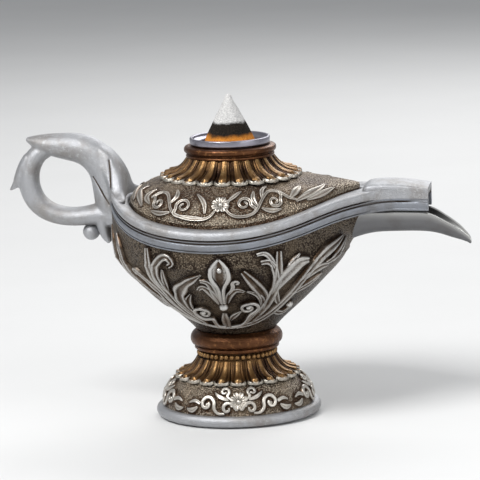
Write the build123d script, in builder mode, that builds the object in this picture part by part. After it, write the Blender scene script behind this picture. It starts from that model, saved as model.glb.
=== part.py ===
from build123d import *
import os
from math import acos, cos, pi, radians, sin, tan

os.makedirs("parts", exist_ok=True)

# The origin is the middle of the felt pad's underside, which stands on the table.
# +X is the spout, -X the handle, and the lamp is the same on both sides of the XZ plane.

# Foot and felt pad
foot_radius = 26.1
foot_rim_height = 3.4
foot_rim_ledge = 1.5
foot_height = 18.2
skirt_top_radius = 18.6
skirt_height = 12.0
skirt_bulge = 1.2
stem_radius = 9.4
pad_radius = 22.5
pad_thickness = 1.4
pad_proud = 0.4
pad_clearance = 0.3

# Beads and collar between the foot and the bowl
bead_radius = 0.82
bead_circle_radius = 12.0
bead_count = 44
bead_sides = 6
bead_ring_height = 2.6
bead_ring_radius = 11.7
collar_radius = 14.6
collar_neck_radius = 12.6
collar_step_radius = 13.5
collar_step_height = 1.4
collar_height = 6.4

# Bowl
bowl_radius = 37.5
bowl_height = 30.1
bowl_wall = 3.0
bowl_floor = 6.5
prow_nose_radius = 6.0

# Rim bands, spout rails and the sheer line that they follow
sheer_rise = 7.6
band_proud = 0.8
rim_lower_height = 3.9
rim_upper_height = 2.8
spout_half_width = 7.5
spout_wall = 2.4
spout_root_angle = 47.0
spout_root_fillet = 12.0
spout_length = 24.9

# Mouth and lid
rim_width = 4.9
ledge_width = 2.6
mouth_tip_radius = 2.9
mouth_tip_length = 3.5
lid_clearance = 0.4
lid_seat_gap = 0.2
lid_seat_depth = 1.2
lid_height = 11.6
lid_plug_height = 2.2
lid_plug_wall = 2.0
lid_wall = 3.2
port_radius = 4.0

# Crowns of gadroons on the lid and on the foot
crown_neck_radius = 10.6
crown_height = 6.3
crown_top_radius = 13.2
crown_edge_gap = 0.1
crown_count = 24
foot_crown_tip_radius = 19.7
foot_crown_top_radius = 12.2
foot_crown_count = 22
petal_width_share = 0.94
ridge_power = 0.5
leaf_edge_share = 0.2
sleeve_inset_share = 0.24

# Relief on the bowl and on the lid
leaf_width = 2.1
relief_height = 1.3
scroll_width = 1.0
scroll_height = 0.9
relief_root = 0.9

# Collar, pan and cone on the lid
lid_collar_radius = 14.5
lid_collar_bore = 11.2
lid_collar_height = 3.7
lid_collar_bead = 0.6
dish_radius = 12.6
dish_cup_radius = 10.9
dish_wall = 1.0
dish_drop = 2.8
dish_rim_height = 2.3
dish_hole_radius = 2.2
cone_radius = 7.8
cone_height = 17.2
cone_tip_radius = 0.9
cone_bore_radius = 1.8
cone_bore_depth = 8.0

# Spout hood and lip
hood_tip_gap = 0.9
hood_height = 8.7
hood_roof = 2.4
hood_corner = 2.6
lip_overhang = 12.8
lip_drop = 10.4
lip_half_width = 7.2
lip_wall = 1.5
lip_gap = 2.2
spout_neck_inset = 1.0

# Handle
handle_reach = 33.5
handle_rise = 36.0
handle_width = 10.6
handle_thickness = 9.6
handle_root_level = 54.5
ball_radius = 2.8
ball_reach = 7.7
ball_level = 58.7

# Fastenings and fits
screw_radius = 2.0
screw_head_radius = 3.6
screw_head_height = 2.4
screw_recess = 3.2
screw_thread = 5.0
pin_radius = 1.1
pin_length = 6.4
pin_spacing = 4.6
pin_bite = 2.2
pin_level = 61.0
fit_gap = 0.05
cut_overrun = 5.0

# Levels up the lamp, worked out from the heights above
foot_bottom = pad_proud
foot_top = foot_bottom + foot_height
skirt_top = foot_bottom + skirt_height
collar_bottom = foot_top + bead_ring_height
bowl_bottom = collar_bottom + collar_height
band_bottom = bowl_bottom + bowl_height
band_middle = band_bottom + rim_lower_height
rim_top = band_middle + rim_upper_height
lid_top = rim_top + lid_height
ledge_level = rim_top - lid_seat_depth
lid_bottom = ledge_level + lid_seat_gap
crown_top = lid_top + crown_height
lid_collar_top = crown_top + lid_collar_height
dish_seat = lid_collar_top + lid_seat_gap
dish_bottom = dish_seat - dish_drop
dish_floor = dish_bottom + dish_wall
dish_top = dish_seat + dish_rim_height
cone_bottom = dish_floor + lid_seat_gap
cone_top = cone_bottom + cone_height
spout_level = band_bottom + sheer_rise
lip_top = spout_level - lip_gap

# Radii and reaches in the plan, worked out from the bowl's radius
band_radius = bowl_radius + band_proud
bowl_inner_radius = bowl_radius - bowl_wall
mouth_radius = bowl_radius - rim_width
throat_radius = mouth_radius - ledge_width
mouth_tip_reach = bowl_radius + mouth_tip_length
hood_back = mouth_tip_reach + hood_tip_gap
spout_reach = bowl_radius + spout_length
lip_root = bowl_radius - lip_wall
lip_reach = spout_reach + lip_overhang
channel_half_width = spout_half_width - spout_wall
lid_flat_share = 0.69
crown_tip_radius = lid_flat_share * mouth_radius - crown_edge_gap
everything = 4 * bowl_radius

# Where the side of the spout leaves the run-out of the bowl, and where its fillet ends
root_angle = radians(spout_root_angle)
root_rise = band_radius * sin(root_angle) - spout_half_width
spout_root = band_radius * cos(root_angle) + root_rise * tan(root_angle)
hood_seam = spout_root + spout_root_fillet * tan((pi / 2 - root_angle) / 2) + fit_gap

# Sheer line in the side view: places along X in bowl radii, and the rise there in sheer rises
sheer_shares = [
    (-1.03, 1.6), (-0.95, 1.05), (-0.86, 0.69), (-0.66, 0.3), (-0.4, 0.09), (0.0, 0.0),
    (0.4, 0.17), (0.75, 0.57), (0.95, 0.83), (1.12, 0.95), (1.33, 1.0), (1.75, 0.95),
]


def finish(shape, name):
    shape.label = name
    export_step(shape, "parts/" + name + ".step")


def sheer_slab(bottom, top):
    """Side view of everything between two sheer lines, drawn on the XZ plane."""
    lower = [(x * bowl_radius, bottom + rise * sheer_rise) for x, rise in sheer_shares]
    upper = [(x * bowl_radius, top + rise * sheer_rise) for x, rise in sheer_shares]
    with BuildSketch(Plane.XZ) as slab:
        with BuildLine():
            Spline(*lower)
            Spline(*upper)
            for low, high in ((lower[0], upper[0]), (lower[-1], upper[-1])):
                Polyline(low, (low[0] * 2, low[1]), (high[0] * 2, high[1]), high)
        make_face()
    return slab.sketch


def band(bottom, top, plan):
    """Solid with the given plan between two sheer lines."""
    with BuildPart() as solid:
        with BuildSketch(Plane.XY.offset(bottom - cut_overrun)):
            add(plan)
        extrude(amount=everything)
        extrude(sheer_slab(bottom, top), amount=everything, both=True, mode=Mode.INTERSECT)
    return solid.part


def spout_plan(radius, half_width, reach):
    """Plan of the bowl run out to the spout: a circle, two tangents and straight sides."""
    touch = (radius * cos(root_angle), radius * sin(root_angle))
    root = touch[0] + (touch[1] - half_width) * tan(root_angle)
    with BuildSketch() as plan:
        Circle(radius)
        for side in (1, -1):
            with BuildLine():
                Polyline(
                    (touch[0], side * touch[1]), (root, side * half_width), (reach, side * half_width),
                    (reach, 0), (0, 0), (touch[0], side * touch[1]),
                )
            make_face()
        corners = plan.vertices().filter_by(lambda corner: abs(corner.X - root) < fit_gap)
        fillet(corners, spout_root_fillet)
    return plan.sketch


def drop_plan(radius, nose_radius, reach):
    """Plan of a drop: a circle round the axis, a nose at the reach, and the tangents to both."""
    centre = reach - nose_radius
    angle = acos((radius - nose_radius) / centre)
    touch = (radius * cos(angle), radius * sin(angle))
    nose_touch = (centre + nose_radius * cos(angle), nose_radius * sin(angle))
    with BuildSketch() as plan:
        Circle(radius)
        with Locations((centre, 0)):
            Circle(nose_radius)
        with BuildLine():
            Polyline(
                touch, nose_touch, (nose_touch[0], -nose_touch[1]), (touch[0], -touch[1]), (0, 0), touch
            )
        make_face()
    return plan.sketch


def mouth_plan(inset):
    """Plan of the mouth, drawn in by an inset for what fits in it."""
    return drop_plan(mouth_radius - inset, mouth_tip_radius - inset / 2, mouth_tip_reach - inset)


def path_planes(middles):
    """Planes square to a path in the XZ plane, with their X axis along Y."""
    planes = []
    for i, (x, z) in enumerate(middles):
        before = middles[max(i - 1, 0)]
        after = middles[min(i + 1, len(middles) - 1)]
        along = (after[0] - before[0], 0, after[1] - before[1])
        planes.append(Plane(origin=(x, 0, z), x_dir=(0, 1, 0), z_dir=along))
    return planes


# Felt pad under the foot
with BuildPart() as base_pad:
    with BuildSketch():
        Circle(pad_radius)
    extrude(amount=pad_thickness)
finish(base_pad.part, "base_pad")


# Foot: bull-nosed rim, domed skirt, shoulder for the gadroons and a stem
with BuildPart() as foot:
    with BuildSketch(Plane.XZ):
        with BuildLine():
            rim_radius = foot_rim_height / 2
            rim_low = (foot_radius - rim_radius, foot_bottom)
            rim_high = (foot_radius - rim_radius, foot_bottom + foot_rim_height)
            skirt_low = (foot_radius - foot_rim_ledge - rim_radius / 2, rim_high[1])
            skirt_high = (skirt_top_radius, skirt_top)
            skirt_middle = (
                (skirt_low[0] + skirt_high[0] + skirt_bulge) / 2,
                (skirt_low[1] + skirt_high[1]) / 2 + skirt_bulge,
            )
            Line((0, foot_bottom), rim_low)
            ThreePointArc(rim_low, (foot_radius, foot_bottom + rim_radius), rim_high)
            Line(rim_high, skirt_low)
            ThreePointArc(skirt_low, skirt_middle, skirt_high)
            Polyline(
                skirt_high, (stem_radius, skirt_top), (stem_radius, foot_top), (0, foot_top), (0, foot_bottom)
            )
        make_face()
    revolve(axis=Axis.Z)
    for level, radius, depth in (
        (foot_bottom, pad_radius + pad_clearance, pad_thickness - pad_proud),
        (pad_thickness, screw_head_radius + fit_gap, screw_recess),
        (pad_thickness, screw_radius + fit_gap, foot_height),
    ):
        with BuildSketch(Plane.XY.offset(level)):
            Circle(radius)
        extrude(amount=depth, mode=Mode.SUBTRACT)
finish(foot.part, "foot")


# Gadroon stations, in shares: place from neck to tip, height from seat to top,
# and half width and bulge of the room that one gadroon has round the tip circle
gadroon_shares = [
    (0.0, 1.0, 0.52, 0.18), (0.22, 0.54, 0.64, 0.30), (0.72, 0.12, 0.88, 0.54), (1.0, 0.02, 0.40, 0.26),
]
gadroon_flat_share = 0.42


def gadroon(top_radius, tip_radius, seat, height, count):
    """One lobe of a crown: arches lofted along a path that flares out and lies down."""
    room = pi * tip_radius / count
    middles = [
        (top_radius + out * (tip_radius - top_radius), seat + up * height)
        for out, up, wide, bulge in gadroon_shares
    ]
    with BuildPart() as lobe:
        for plane, (out, up, wide, bulge) in zip(path_planes(middles), gadroon_shares):
            half = wide * room * petal_width_share
            with BuildSketch(plane):
                with BuildLine():
                    top = (gadroon_flat_share * half, bulge * room)
                    Polyline((-half, 0), (-top[0], top[1]), top, (half, 0), (-half, 0))
                make_face()
        loft(ruled=True)
    return lobe.part


def crown(neck_radius, top_radius, tip_radius, seat, height, count):
    """Flared sleeve with a ring of gadroons, cut flat on its seat and at its top."""
    lobe = gadroon(top_radius, tip_radius, seat, height, count)
    sleeve_radius = tip_radius - (tip_radius - top_radius) * sleeve_inset_share
    with BuildPart() as ring:
        with BuildSketch(Plane.XZ):
            with BuildLine():
                Line((neck_radius, seat), (sleeve_radius, seat))
                Spline(
                    (sleeve_radius, seat), (top_radius + fit_gap, seat + height),
                    tangents=[(-cos(pi / 9), sin(pi / 9)), (-sin(pi / 12), cos(pi / 12))],
                )
                Polyline(
                    (top_radius + fit_gap, seat + height), (neck_radius, seat + height), (neck_radius, seat)
                )
            make_face()
        revolve(axis=Axis.Z)
        with PolarLocations(0, count):
            add(lobe)
        split(bisect_by=Plane.XY.offset(seat), keep=Keep.TOP)
        split(bisect_by=Plane.XY.offset(seat + height), keep=Keep.BOTTOM)
    return ring.part


foot_petals = crown(
    stem_radius + fit_gap, foot_crown_top_radius, foot_crown_tip_radius,
    skirt_top, foot_top - skirt_top, foot_crown_count,
)
finish(foot_petals, "foot_petals")


# Bead ring: a flat washer with a row of cut beads round it.
# Shares: place outward and size, both in bead radii.
bead_shares = [(-1.0, 1.0), (1.0, 0.62)]
with BuildPart() as bead:
    bead_plane = Plane(
        origin=(bead_circle_radius, 0, foot_top + bead_ring_height / 2), x_dir=(0, 0, 1), z_dir=(1, 0, 0)
    )
    for out, size in bead_shares:
        with BuildSketch(bead_plane.offset(out * bead_radius)):
            RegularPolygon(bead_radius * size, bead_sides)
    loft(ruled=True)

with BuildPart() as bead_ring:
    with BuildSketch(Plane.XY.offset(foot_top)):
        Circle(bead_ring_radius)
        Circle(screw_radius + fit_gap, mode=Mode.SUBTRACT)
    extrude(amount=bead_ring_height)
    with PolarLocations(0, bead_count):
        add(bead.part)
finish(bead_ring.part, "bead_ring")


# Collar: a step, a full round and a neck
with BuildPart() as collar_ring:
    with BuildSketch(Plane.XZ):
        with BuildLine():
            step_top = collar_bottom + collar_step_height
            bore = screw_radius + fit_gap
            Polyline((bore, collar_bottom), (collar_step_radius, collar_bottom), (collar_step_radius, step_top))
            ThreePointArc(
                (collar_step_radius, step_top), (collar_radius, (step_top + bowl_bottom) / 2),
                (collar_neck_radius, bowl_bottom),
            )
            Polyline((collar_neck_radius, bowl_bottom), (bore, bowl_bottom), (bore, collar_bottom))
        make_face()
    revolve(axis=Axis.Z)
finish(collar_ring.part, "collar_ring")


# Turned outlines of the bowl, outside and inside, in shares of its radius and height
bowl_outer_shares = [
    (0.331, 0.0), (0.395, 0.085), (0.585, 0.30), (0.80, 0.565), (0.925, 0.735), (0.985, 0.89), (1.0, 1.0),
]
bowl_inner_shares = [(0.30, 0.0), (0.61, 0.19), (0.815, 0.53), (0.93, 0.72), (0.985, 0.885), (1.0, 1.0)]


def turned(shares, radius, bottom, height):
    """Solid turned from a smooth outline, run on straight past its top."""
    points = [(r * radius, bottom + h * height) for r, h in shares]
    top = points[-1][1] + 2 * sheer_rise
    with BuildPart() as solid:
        with BuildSketch(Plane.XZ):
            with BuildLine():
                Line((0, bottom), points[0])
                Spline(*points)
                Polyline(points[-1], (points[-1][0], top), (0, top), (0, bottom))
            make_face()
        revolve(axis=Axis.Z)
    return solid.part


bowl_outside = turned(bowl_outer_shares, bowl_radius, bowl_bottom, bowl_height)
bowl_inside = turned(
    bowl_inner_shares, bowl_inner_radius, bowl_bottom + bowl_floor, bowl_height - bowl_floor
)

# Prow of the bowl under the spout: plan drops that reach further with each level.
# Shares: height in sheer rises from the band's lowest point, and reach past the prow's own radius.
prow_shares = [(-0.5, 0.01), (0.2, 0.12), (1.1, 0.265)]
prow_radius = bowl_radius - band_proud
with BuildPart() as prow:
    for rise_share, reach_share in prow_shares:
        with BuildSketch(Plane.XY.offset(band_bottom + rise_share * sheer_rise)):
            add(drop_plan(prow_radius, prow_nose_radius, prow_radius * (1 + reach_share)))
    loft()

rim_outline = spout_plan(band_radius, spout_half_width, spout_reach)
rim_lower_block = band(band_bottom, band_middle, rim_outline)
rim_upper_block = band(band_middle, rim_top, rim_outline)
under_bands = sheer_slab(bowl_bottom - sheer_rise, band_bottom)
mouth = band(ledge_level, rim_top + 2 * lid_top, mouth_plan(0))


def lip_point(place):
    """Place along the lip: its trough is as long as the spout, and the rest is the beak."""
    if place < lip_trough_share:
        return lip_root + place / lip_trough_share * (spout_reach - lip_root)
    return spout_reach + (place - lip_trough_share) / (1 - lip_trough_share) * lip_overhang


# Lip outside: half ellipses lofted from the bowl to a beak.
# The trough's share of the lip ends where the rails above it end.
# Shares: place along it, top edge and depth in lip drops, and half width in lip half widths.
lip_trough_share = 0.67
lip_shares = [
    (0.0, 0.0, 0.86, 1.05), (0.2, 0.0, 0.63, 1.02), (0.4, 0.0, 0.56, 1.0), (0.65, -0.01, 0.60, 0.96),
    (0.76, -0.22, 0.52, 0.78), (0.86, -0.53, 0.34, 0.54), (0.94, -0.79, 0.17, 0.31), (1.0, -0.98, 0.05, 0.09),
]
with BuildPart() as lip_outside:
    for place, rise, depth, wide in lip_shares:
        edge_level = lip_top + rise * lip_drop
        with BuildSketch(Plane.YZ.offset(lip_point(place))):
            with BuildLine():
                half = wide * lip_half_width
                EllipticalCenterArc((0, edge_level), half, depth * lip_drop, start_angle=180, arc_size=180)
                Line((half, edge_level), (-half, edge_level))
            make_face()
    loft()

# Channel from the bowl into the spout, drawn in the side view and in plan, open at its top and both ends.
# Shares: place along the lip, floor below its top edge in lip drops, half width in channel widths.
channel_shares = [
    (-0.3, -0.42, 1.0), (0.65, -0.42, 1.0), (0.78, -0.56, 0.76), (0.88, -0.72, 0.48), (0.97, -0.9, 0.1),
]
with BuildPart() as lip_channel:
    with BuildSketch(Plane.XZ):
        with BuildLine():
            floor = [(lip_point(place), lip_top + low * lip_drop) for place, low, wide in channel_shares]
            above = lip_top + lip_drop
            Line(floor[0], floor[1])
            Spline(*floor[1:], tangents=[(1, 0), (1, -1)])
            Polyline(floor[-1], (floor[-1][0], above), (floor[0][0], above), floor[0])
        make_face()
    extrude(amount=spout_half_width, both=True)
    with BuildSketch(Plane.XY.offset(lip_top - lip_drop)):
        with BuildLine():
            side = [(lip_point(place), wide * channel_half_width) for place, low, wide in channel_shares]
            Polyline(*side, *[(x, -y) for x, y in reversed(side)], side[0])
        make_face()
    extrude(amount=2 * lip_drop, mode=Mode.INTERSECT)

pin_places = [(0, pin_level - pin_spacing / 2), (0, pin_level + pin_spacing / 2)]
with BuildPart() as bowl:
    add(bowl_outside)
    add(prow.part)
    add(bowl_inside, mode=Mode.SUBTRACT)
    extrude(under_bands, amount=everything, both=True, mode=Mode.INTERSECT)
    add(lip_channel.part, mode=Mode.SUBTRACT)
    with BuildSketch(Plane.XY.offset(bowl_bottom)):
        Circle(screw_radius + fit_gap)
    extrude(amount=screw_thread, mode=Mode.SUBTRACT)
    with BuildSketch(Plane.YZ.offset(pin_bite - bowl_radius)):
        with Locations(*pin_places):
            Circle(pin_radius + fit_gap)
    extrude(amount=-2 * pin_bite, mode=Mode.SUBTRACT)
finish(bowl.part, "bowl")


# Relief: leaves raised on a turned or domed face. A place on a face is a turn in degrees
# from the front towards the spout, and a level in shares of the height that the relief covers.
def face_place(solid, turn, level):
    """Outermost point of a solid at a level and a turn, and the direction that its face looks there."""
    facing = Vector(sin(radians(turn)), -cos(radians(turn)), 0)
    hits = solid.find_intersection_points(Axis((0, 0, level), facing))
    point, outward = max(hits, key=lambda hit: hit[0].dot(facing))
    return point, outward if outward.dot(facing) > 0 else -outward


def leaf(solid, bottom, height, width, thickness, places):
    """Leaf with a ridge along it, its edges low on the face and its root under it.
    A place is a turn, a level and a half width, the last two as shares."""
    middles = [face_place(solid, turn, bottom + up * height) for turn, up, wide in places]
    rows = []
    for i, (point, outward) in enumerate(middles):
        along = middles[min(i + 1, len(middles) - 1)][0] - middles[max(i - 1, 0)][0]
        across = outward.cross(along).normalized() * (places[i][2] * width)
        ridge = outward * thickness * places[i][2] ** ridge_power
        edge = point + ridge * leaf_edge_share
        rows.append((edge + across, point + ridge, edge - across, point - outward * relief_root))
    faces = []
    for left, ridge, right, root in (rows[0], rows[-1]):
        faces += [(left, ridge, root), (ridge, right, root)]
    for here, there in zip(rows, rows[1:]):
        for j in range(len(here)):
            faces += [(here[j - 1], here[j], there[j - 1]), (here[j], there[j], there[j - 1])]
    return Solid(Shell([Face(Wire.make_polygon(corners)) for corners in faces]))


def relief(solid, bottom, height, width, thickness, leaves):
    """Leaves on both sides of a solid, seated on its face."""
    with BuildPart() as raised:
        for places in leaves:
            add(leaf(solid, bottom, height, width, thickness, places))
        mirror(about=Plane.XZ)
        add(solid, mode=Mode.SUBTRACT)
    return raised.part


# Leaves on the bowl: palmette, its two volutes, the stem, and the long leaves on each side.
# Shares: turn in degrees, level in bowl heights, half width in leaf widths.
bowl_leaf_shares = [
    [(0, 0.42, 0.5), (0.4, 0.58, 0.6), (0.8, 0.72, 1.4), (0.9, 0.82, 1.2), (1, 0.94, 0.1)],
    [(-2, 0.42, 0.3), (-8, 0.58, 0.7), (-13, 0.59, 0.2)],
    [(2, 0.42, 0.3), (8, 0.58, 0.7), (14, 0.57, 0.2)],
    [(-4, 0.15, 0.4), (-15, 0.22, 0.6), (-20.5, 0.33, 0.65), (-18.5, 0.43, 0.55), (-14.5, 0.39, 0.35)],
    [(4, 0.15, 0.4), (15, 0.24, 0.6), (20.5, 0.35, 0.65), (18.5, 0.45, 0.55), (14.5, 0.41, 0.35)],
    [(-58, 0.40, 0.2), (-42, 0.23, 0.5), (-20, 0.13, 0.5), (8, 0.11, 0.4), (27, 0.17, 0.5), (41, 0.32, 0.6)],
    [(-24, 0.19, 0.4), (-30, 0.36, 0.85), (-28, 0.54, 1.0), (-18, 0.68, 0.8), (-9, 0.77, 0.1)],
    [(28.5, 0.35, 0.3), (24, 0.54, 0.75), (17, 0.69, 0.75), (12, 0.80, 0.3)],
    [(21, 0.16, 0.4), (30, 0.38, 0.65), (31.5, 0.60, 0.7), (30, 0.82, 0.6), (29.5, 0.98, 0.4)],
    [(31, 0.53, 0.3), (29, 0.75, 0.5), (25, 0.89, 0.5), (20.5, 0.88, 0.3)],
    [(32, 0.51, 0.3), (35, 0.74, 0.9), (40, 0.84, 1.0), (46, 0.86, 0.4)],
    [(41, 0.32, 0.5), (46.5, 0.52, 0.6), (49.5, 0.74, 0.65), (56, 0.90, 0.75), (64, 0.97, 0.3)],
    [(45, 0.45, 0.2), (52, 0.54, 0.65), (62, 0.66, 0.15)],
    [(-24, 0.13, 0.4), (-36, 0.36, 0.6), (-37, 0.62, 0.65), (-32, 0.86, 0.55), (-25, 0.95, 0.4)],
    [(-33, 0.19, 0.4), (-43, 0.37, 0.75), (-45.5, 0.58, 0.85), (-50, 0.73, 0.7), (-56, 0.70, 0.2)],
    [(-47, 0.31, 0.4), (-57, 0.52, 0.9), (-61, 0.78, 1.0), (-63.5, 0.98, 0.2)],
    [(-58, 0.45, 0.3), (-69, 0.62, 0.75), (-74.5, 0.84, 0.8), (-78, 0.98, 0.2)],
]
with BuildPart() as bowl_ground:
    add(bowl_outside)
    add(prow.part)
    extrude(under_bands, amount=everything, both=True, mode=Mode.INTERSECT)
bowl_leaves = relief(bowl_ground.part, bowl_bottom, bowl_height, leaf_width, relief_height, bowl_leaf_shares)
finish(bowl_leaves, "bowl_leaves")


# Lip with the drawn-in neck that carries the rails
neck_reach = spout_reach - lip_gap
with BuildPart() as spout_lip:
    add(lip_outside.part)
    with BuildSketch(Plane.XY.offset(lip_top - lip_wall)):
        with Locations(((lip_root + neck_reach) / 2, 0)):
            Rectangle(neck_reach - lip_root, 2 * (lip_half_width - spout_neck_inset))
    extrude(amount=2 * lip_gap + lip_wall)
    extrude(under_bands, amount=everything, both=True, mode=Mode.INTERSECT)
    add(lip_channel.part, mode=Mode.SUBTRACT)
    add(bowl_outside, mode=Mode.SUBTRACT)
    add(prow.part, mode=Mode.SUBTRACT)
finish(spout_lip.part, "spout_lip")


# Lower band: it caps the bowl and runs on as the rails of the spout
with BuildPart() as rim_lower:
    add(rim_lower_block)
    with BuildSketch(Plane.XY.offset(bowl_bottom)):
        add(spout_plan(bowl_inner_radius, channel_half_width, spout_reach + cut_overrun))
    extrude(amount=everything, mode=Mode.SUBTRACT)
finish(rim_lower.part, "rim_lower")


# Upper band: it ends where the sides of the spout begin, and holds the ledge for the lid
with BuildPart() as rim_upper:
    add(rim_upper_block)
    split(bisect_by=Plane.YZ.offset(hood_seam), keep=Keep.BOTTOM)
    add(mouth, mode=Mode.SUBTRACT)
    with BuildSketch(Plane.XY.offset(bowl_bottom)):
        add(mouth_plan(mouth_radius - throat_radius))
    extrude(amount=everything, mode=Mode.SUBTRACT)
finish(rim_upper.part, "rim_upper")


# Hood: roof of the spout, with a tongue that lies on the upper band behind the lid's tip.
# Shares: place from the back of the hood to its end, and height in hood heights.
hood_roof_shares = [(0.045, 0.965), (0.42, 1.0), (0.82, 0.88), (0.96, 0.74)]
hood_back_share = 0.82
hood_end_share = 0.57


def hood_point(place, up):
    return (hood_back + place * (spout_reach - hood_back), spout_level + up * hood_height)


with BuildPart() as spout_hood:
    with BuildSketch(Plane.XY.offset(spout_level - cut_overrun)):
        with Locations(((hood_back + spout_reach) / 2, 0)):
            Rectangle(spout_reach - hood_back, 2 * spout_half_width)
    extrude(amount=everything)
    fillet(spout_hood.edges().filter_by(Axis.Z).group_by(Axis.X)[0], hood_corner)
    with BuildSketch(Plane.XZ):
        with BuildLine():
            roof = [hood_point(place, up) for place, up in hood_roof_shares]
            back = hood_point(0, hood_back_share)
            end = hood_point(1, hood_end_share)
            Line(back, roof[0])
            Spline(*roof)
            Polyline(roof[-1], end, (end[0], lip_top), (back[0], lip_top), back)
        make_face()
    extrude(amount=everything, both=True, mode=Mode.INTERSECT)
    add(rim_upper.part, mode=Mode.SUBTRACT)
    extrude(sheer_slab(bowl_bottom, band_middle), amount=everything, both=True, mode=Mode.SUBTRACT)
    with BuildSketch(Plane.XZ):
        with BuildLine():
            past_end = (end[0] + cut_overrun, end[1] - hood_roof / 2)
            Polyline(
                (hood_seam, lip_top), (hood_seam, roof[1][1] - hood_roof), (roof[2][0], roof[2][1] - hood_roof),
                past_end, (past_end[0], lip_top), (hood_seam, lip_top),
            )
        make_face()
    extrude(amount=channel_half_width, both=True, mode=Mode.SUBTRACT)
finish(spout_hood.part, "spout_hood")


# Handle: upswept limb, finger loop, leaf on the loop and pad on the bowl.
# Shares: reach behind the bowl, rise from the root, half thickness and half width.
limb_shares = [
    (-0.07, 0.24, 0.40, 1.20), (-0.04, 0.385, 0.70, 1.26), (0.0, 0.54, 1.02, 1.20), (0.054, 0.708, 1.02, 1.06),
    (0.209, 0.836, 0.94, 0.98), (0.433, 0.88, 0.85, 0.94), (0.64, 0.903, 0.56, 0.83), (0.818, 0.942, 0.10, 0.28),
]
loop_shares = [
    (0.627, 0.853, 0.52, 0.66), (0.725, 0.797, 0.625, 0.79), (0.80, 0.667, 0.69, 0.83),
    (0.80, 0.508, 0.69, 0.83), (0.725, 0.37, 0.67, 0.80), (0.582, 0.283, 0.635, 0.80),
    (0.403, 0.253, 0.615, 0.80), (0.239, 0.262, 0.625, 0.85), (-0.02, 0.235, 0.70, 1.15),
]
leaf_shares = [
    (0.836, 0.764, 0.25, 0.56), (0.887, 0.653, 0.27, 0.56), (0.934, 0.558, 0.22, 0.42), (0.994, 0.492, 0.07, 0.17),
]
pad_shares = [
    (0.03, 0.0, 0.30, 0.40), (0.09, 0.11, 0.50, 0.84), (0.10, 0.24, 0.56, 1.0), (0.06, 0.38, 0.34, 0.75),
]


def handle_limb(shares):
    """One limb of the handle, lofted through ellipses square to its path."""
    middles = [
        (-(bowl_radius + back * handle_reach), handle_root_level + up * handle_rise)
        for back, up, thick, wide in shares
    ]
    with BuildPart() as limb:
        for plane, (back, up, thick, wide) in zip(path_planes(middles), shares):
            with BuildSketch(plane):
                Ellipse(wide * handle_width / 2, thick * handle_thickness / 2)
        loft()
    return limb.part


with BuildPart() as handle:
    for shares in (limb_shares, loop_shares, leaf_shares, pad_shares):
        add(handle_limb(shares))
    for neighbour in (bowl_outside, rim_lower_block, rim_upper_block):
        add(neighbour, mode=Mode.SUBTRACT)
    with BuildSketch(Plane.XY.offset(bowl_bottom)):
        add(mouth_plan(0))
    extrude(amount=everything, mode=Mode.SUBTRACT)
    with BuildSketch(Plane.YZ.offset(pin_bite - bowl_radius)):
        with Locations(*pin_places):
            Circle(pin_radius + fit_gap)
    extrude(amount=-pin_length, mode=Mode.SUBTRACT)
finish(handle.part, "handle")

with BuildPart() as handle_ball:
    with Locations((-(bowl_radius + ball_reach), 0, ball_level)):
        Sphere(ball_radius)
    add(handle.part, mode=Mode.SUBTRACT)
finish(handle_ball.part, "handle_ball")

with BuildPart() as handle_pins:
    with BuildSketch(Plane.YZ.offset(pin_bite - bowl_radius)):
        with Locations(*pin_places):
            Circle(pin_radius)
    extrude(amount=-pin_length)
finish(handle_pins.part, "handle_pins")

# Screw from under the foot up into the floor of the bowl
head_seat = pad_thickness + screw_recess
with BuildPart() as tie_screw:
    with BuildSketch(Plane.XY.offset(head_seat)):
        Circle(screw_head_radius)
    extrude(amount=-screw_head_height)
    with BuildSketch(Plane.XY.offset(head_seat)):
        Circle(screw_radius)
    extrude(amount=bowl_bottom + screw_thread - head_seat)
finish(tie_screw.part, "tie_screw")


# Lid dome: lower at its sides than at its ends, with a round flat top for the crown.
# Shares: height from the rim to the flat top, half width, reach back, reach to the tip, half tip.
dome_shares = [
    (0.0, 1.02, 1.12, 1.50, 0.06), (0.2, 0.98, 1.07, 1.45, 0.05), (0.4, 0.932, 1.01, 1.39, 0.04),
    (0.6, 0.868, 0.95, 1.32, 0.04), (0.8, 0.79, 0.865, 1.21, 0.04), (0.92, 0.73, 0.77, 0.98, 0.10),
    (1.0, lid_flat_share, lid_flat_share, 0.72, 0.20),
]
with BuildPart() as lid_dome:
    for rise, wide, behind, ahead, nose in dome_shares:
        with BuildSketch(Plane.XY.offset(rim_top + rise * (lid_top - rim_top))):
            with BuildLine():
                rear = (-behind * mouth_radius, 0)
                tip = (ahead * mouth_radius, nose * mouth_radius)
                for side in (1, -1):
                    Spline(
                        rear, (0, side * wide * mouth_radius), (tip[0], side * tip[1]),
                        tangents=[(0, side), (1, 0), (1, -side * (1 - nose))],
                    )
                Line(tip, (tip[0], -tip[1]))
            make_face()
    loft()

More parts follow.
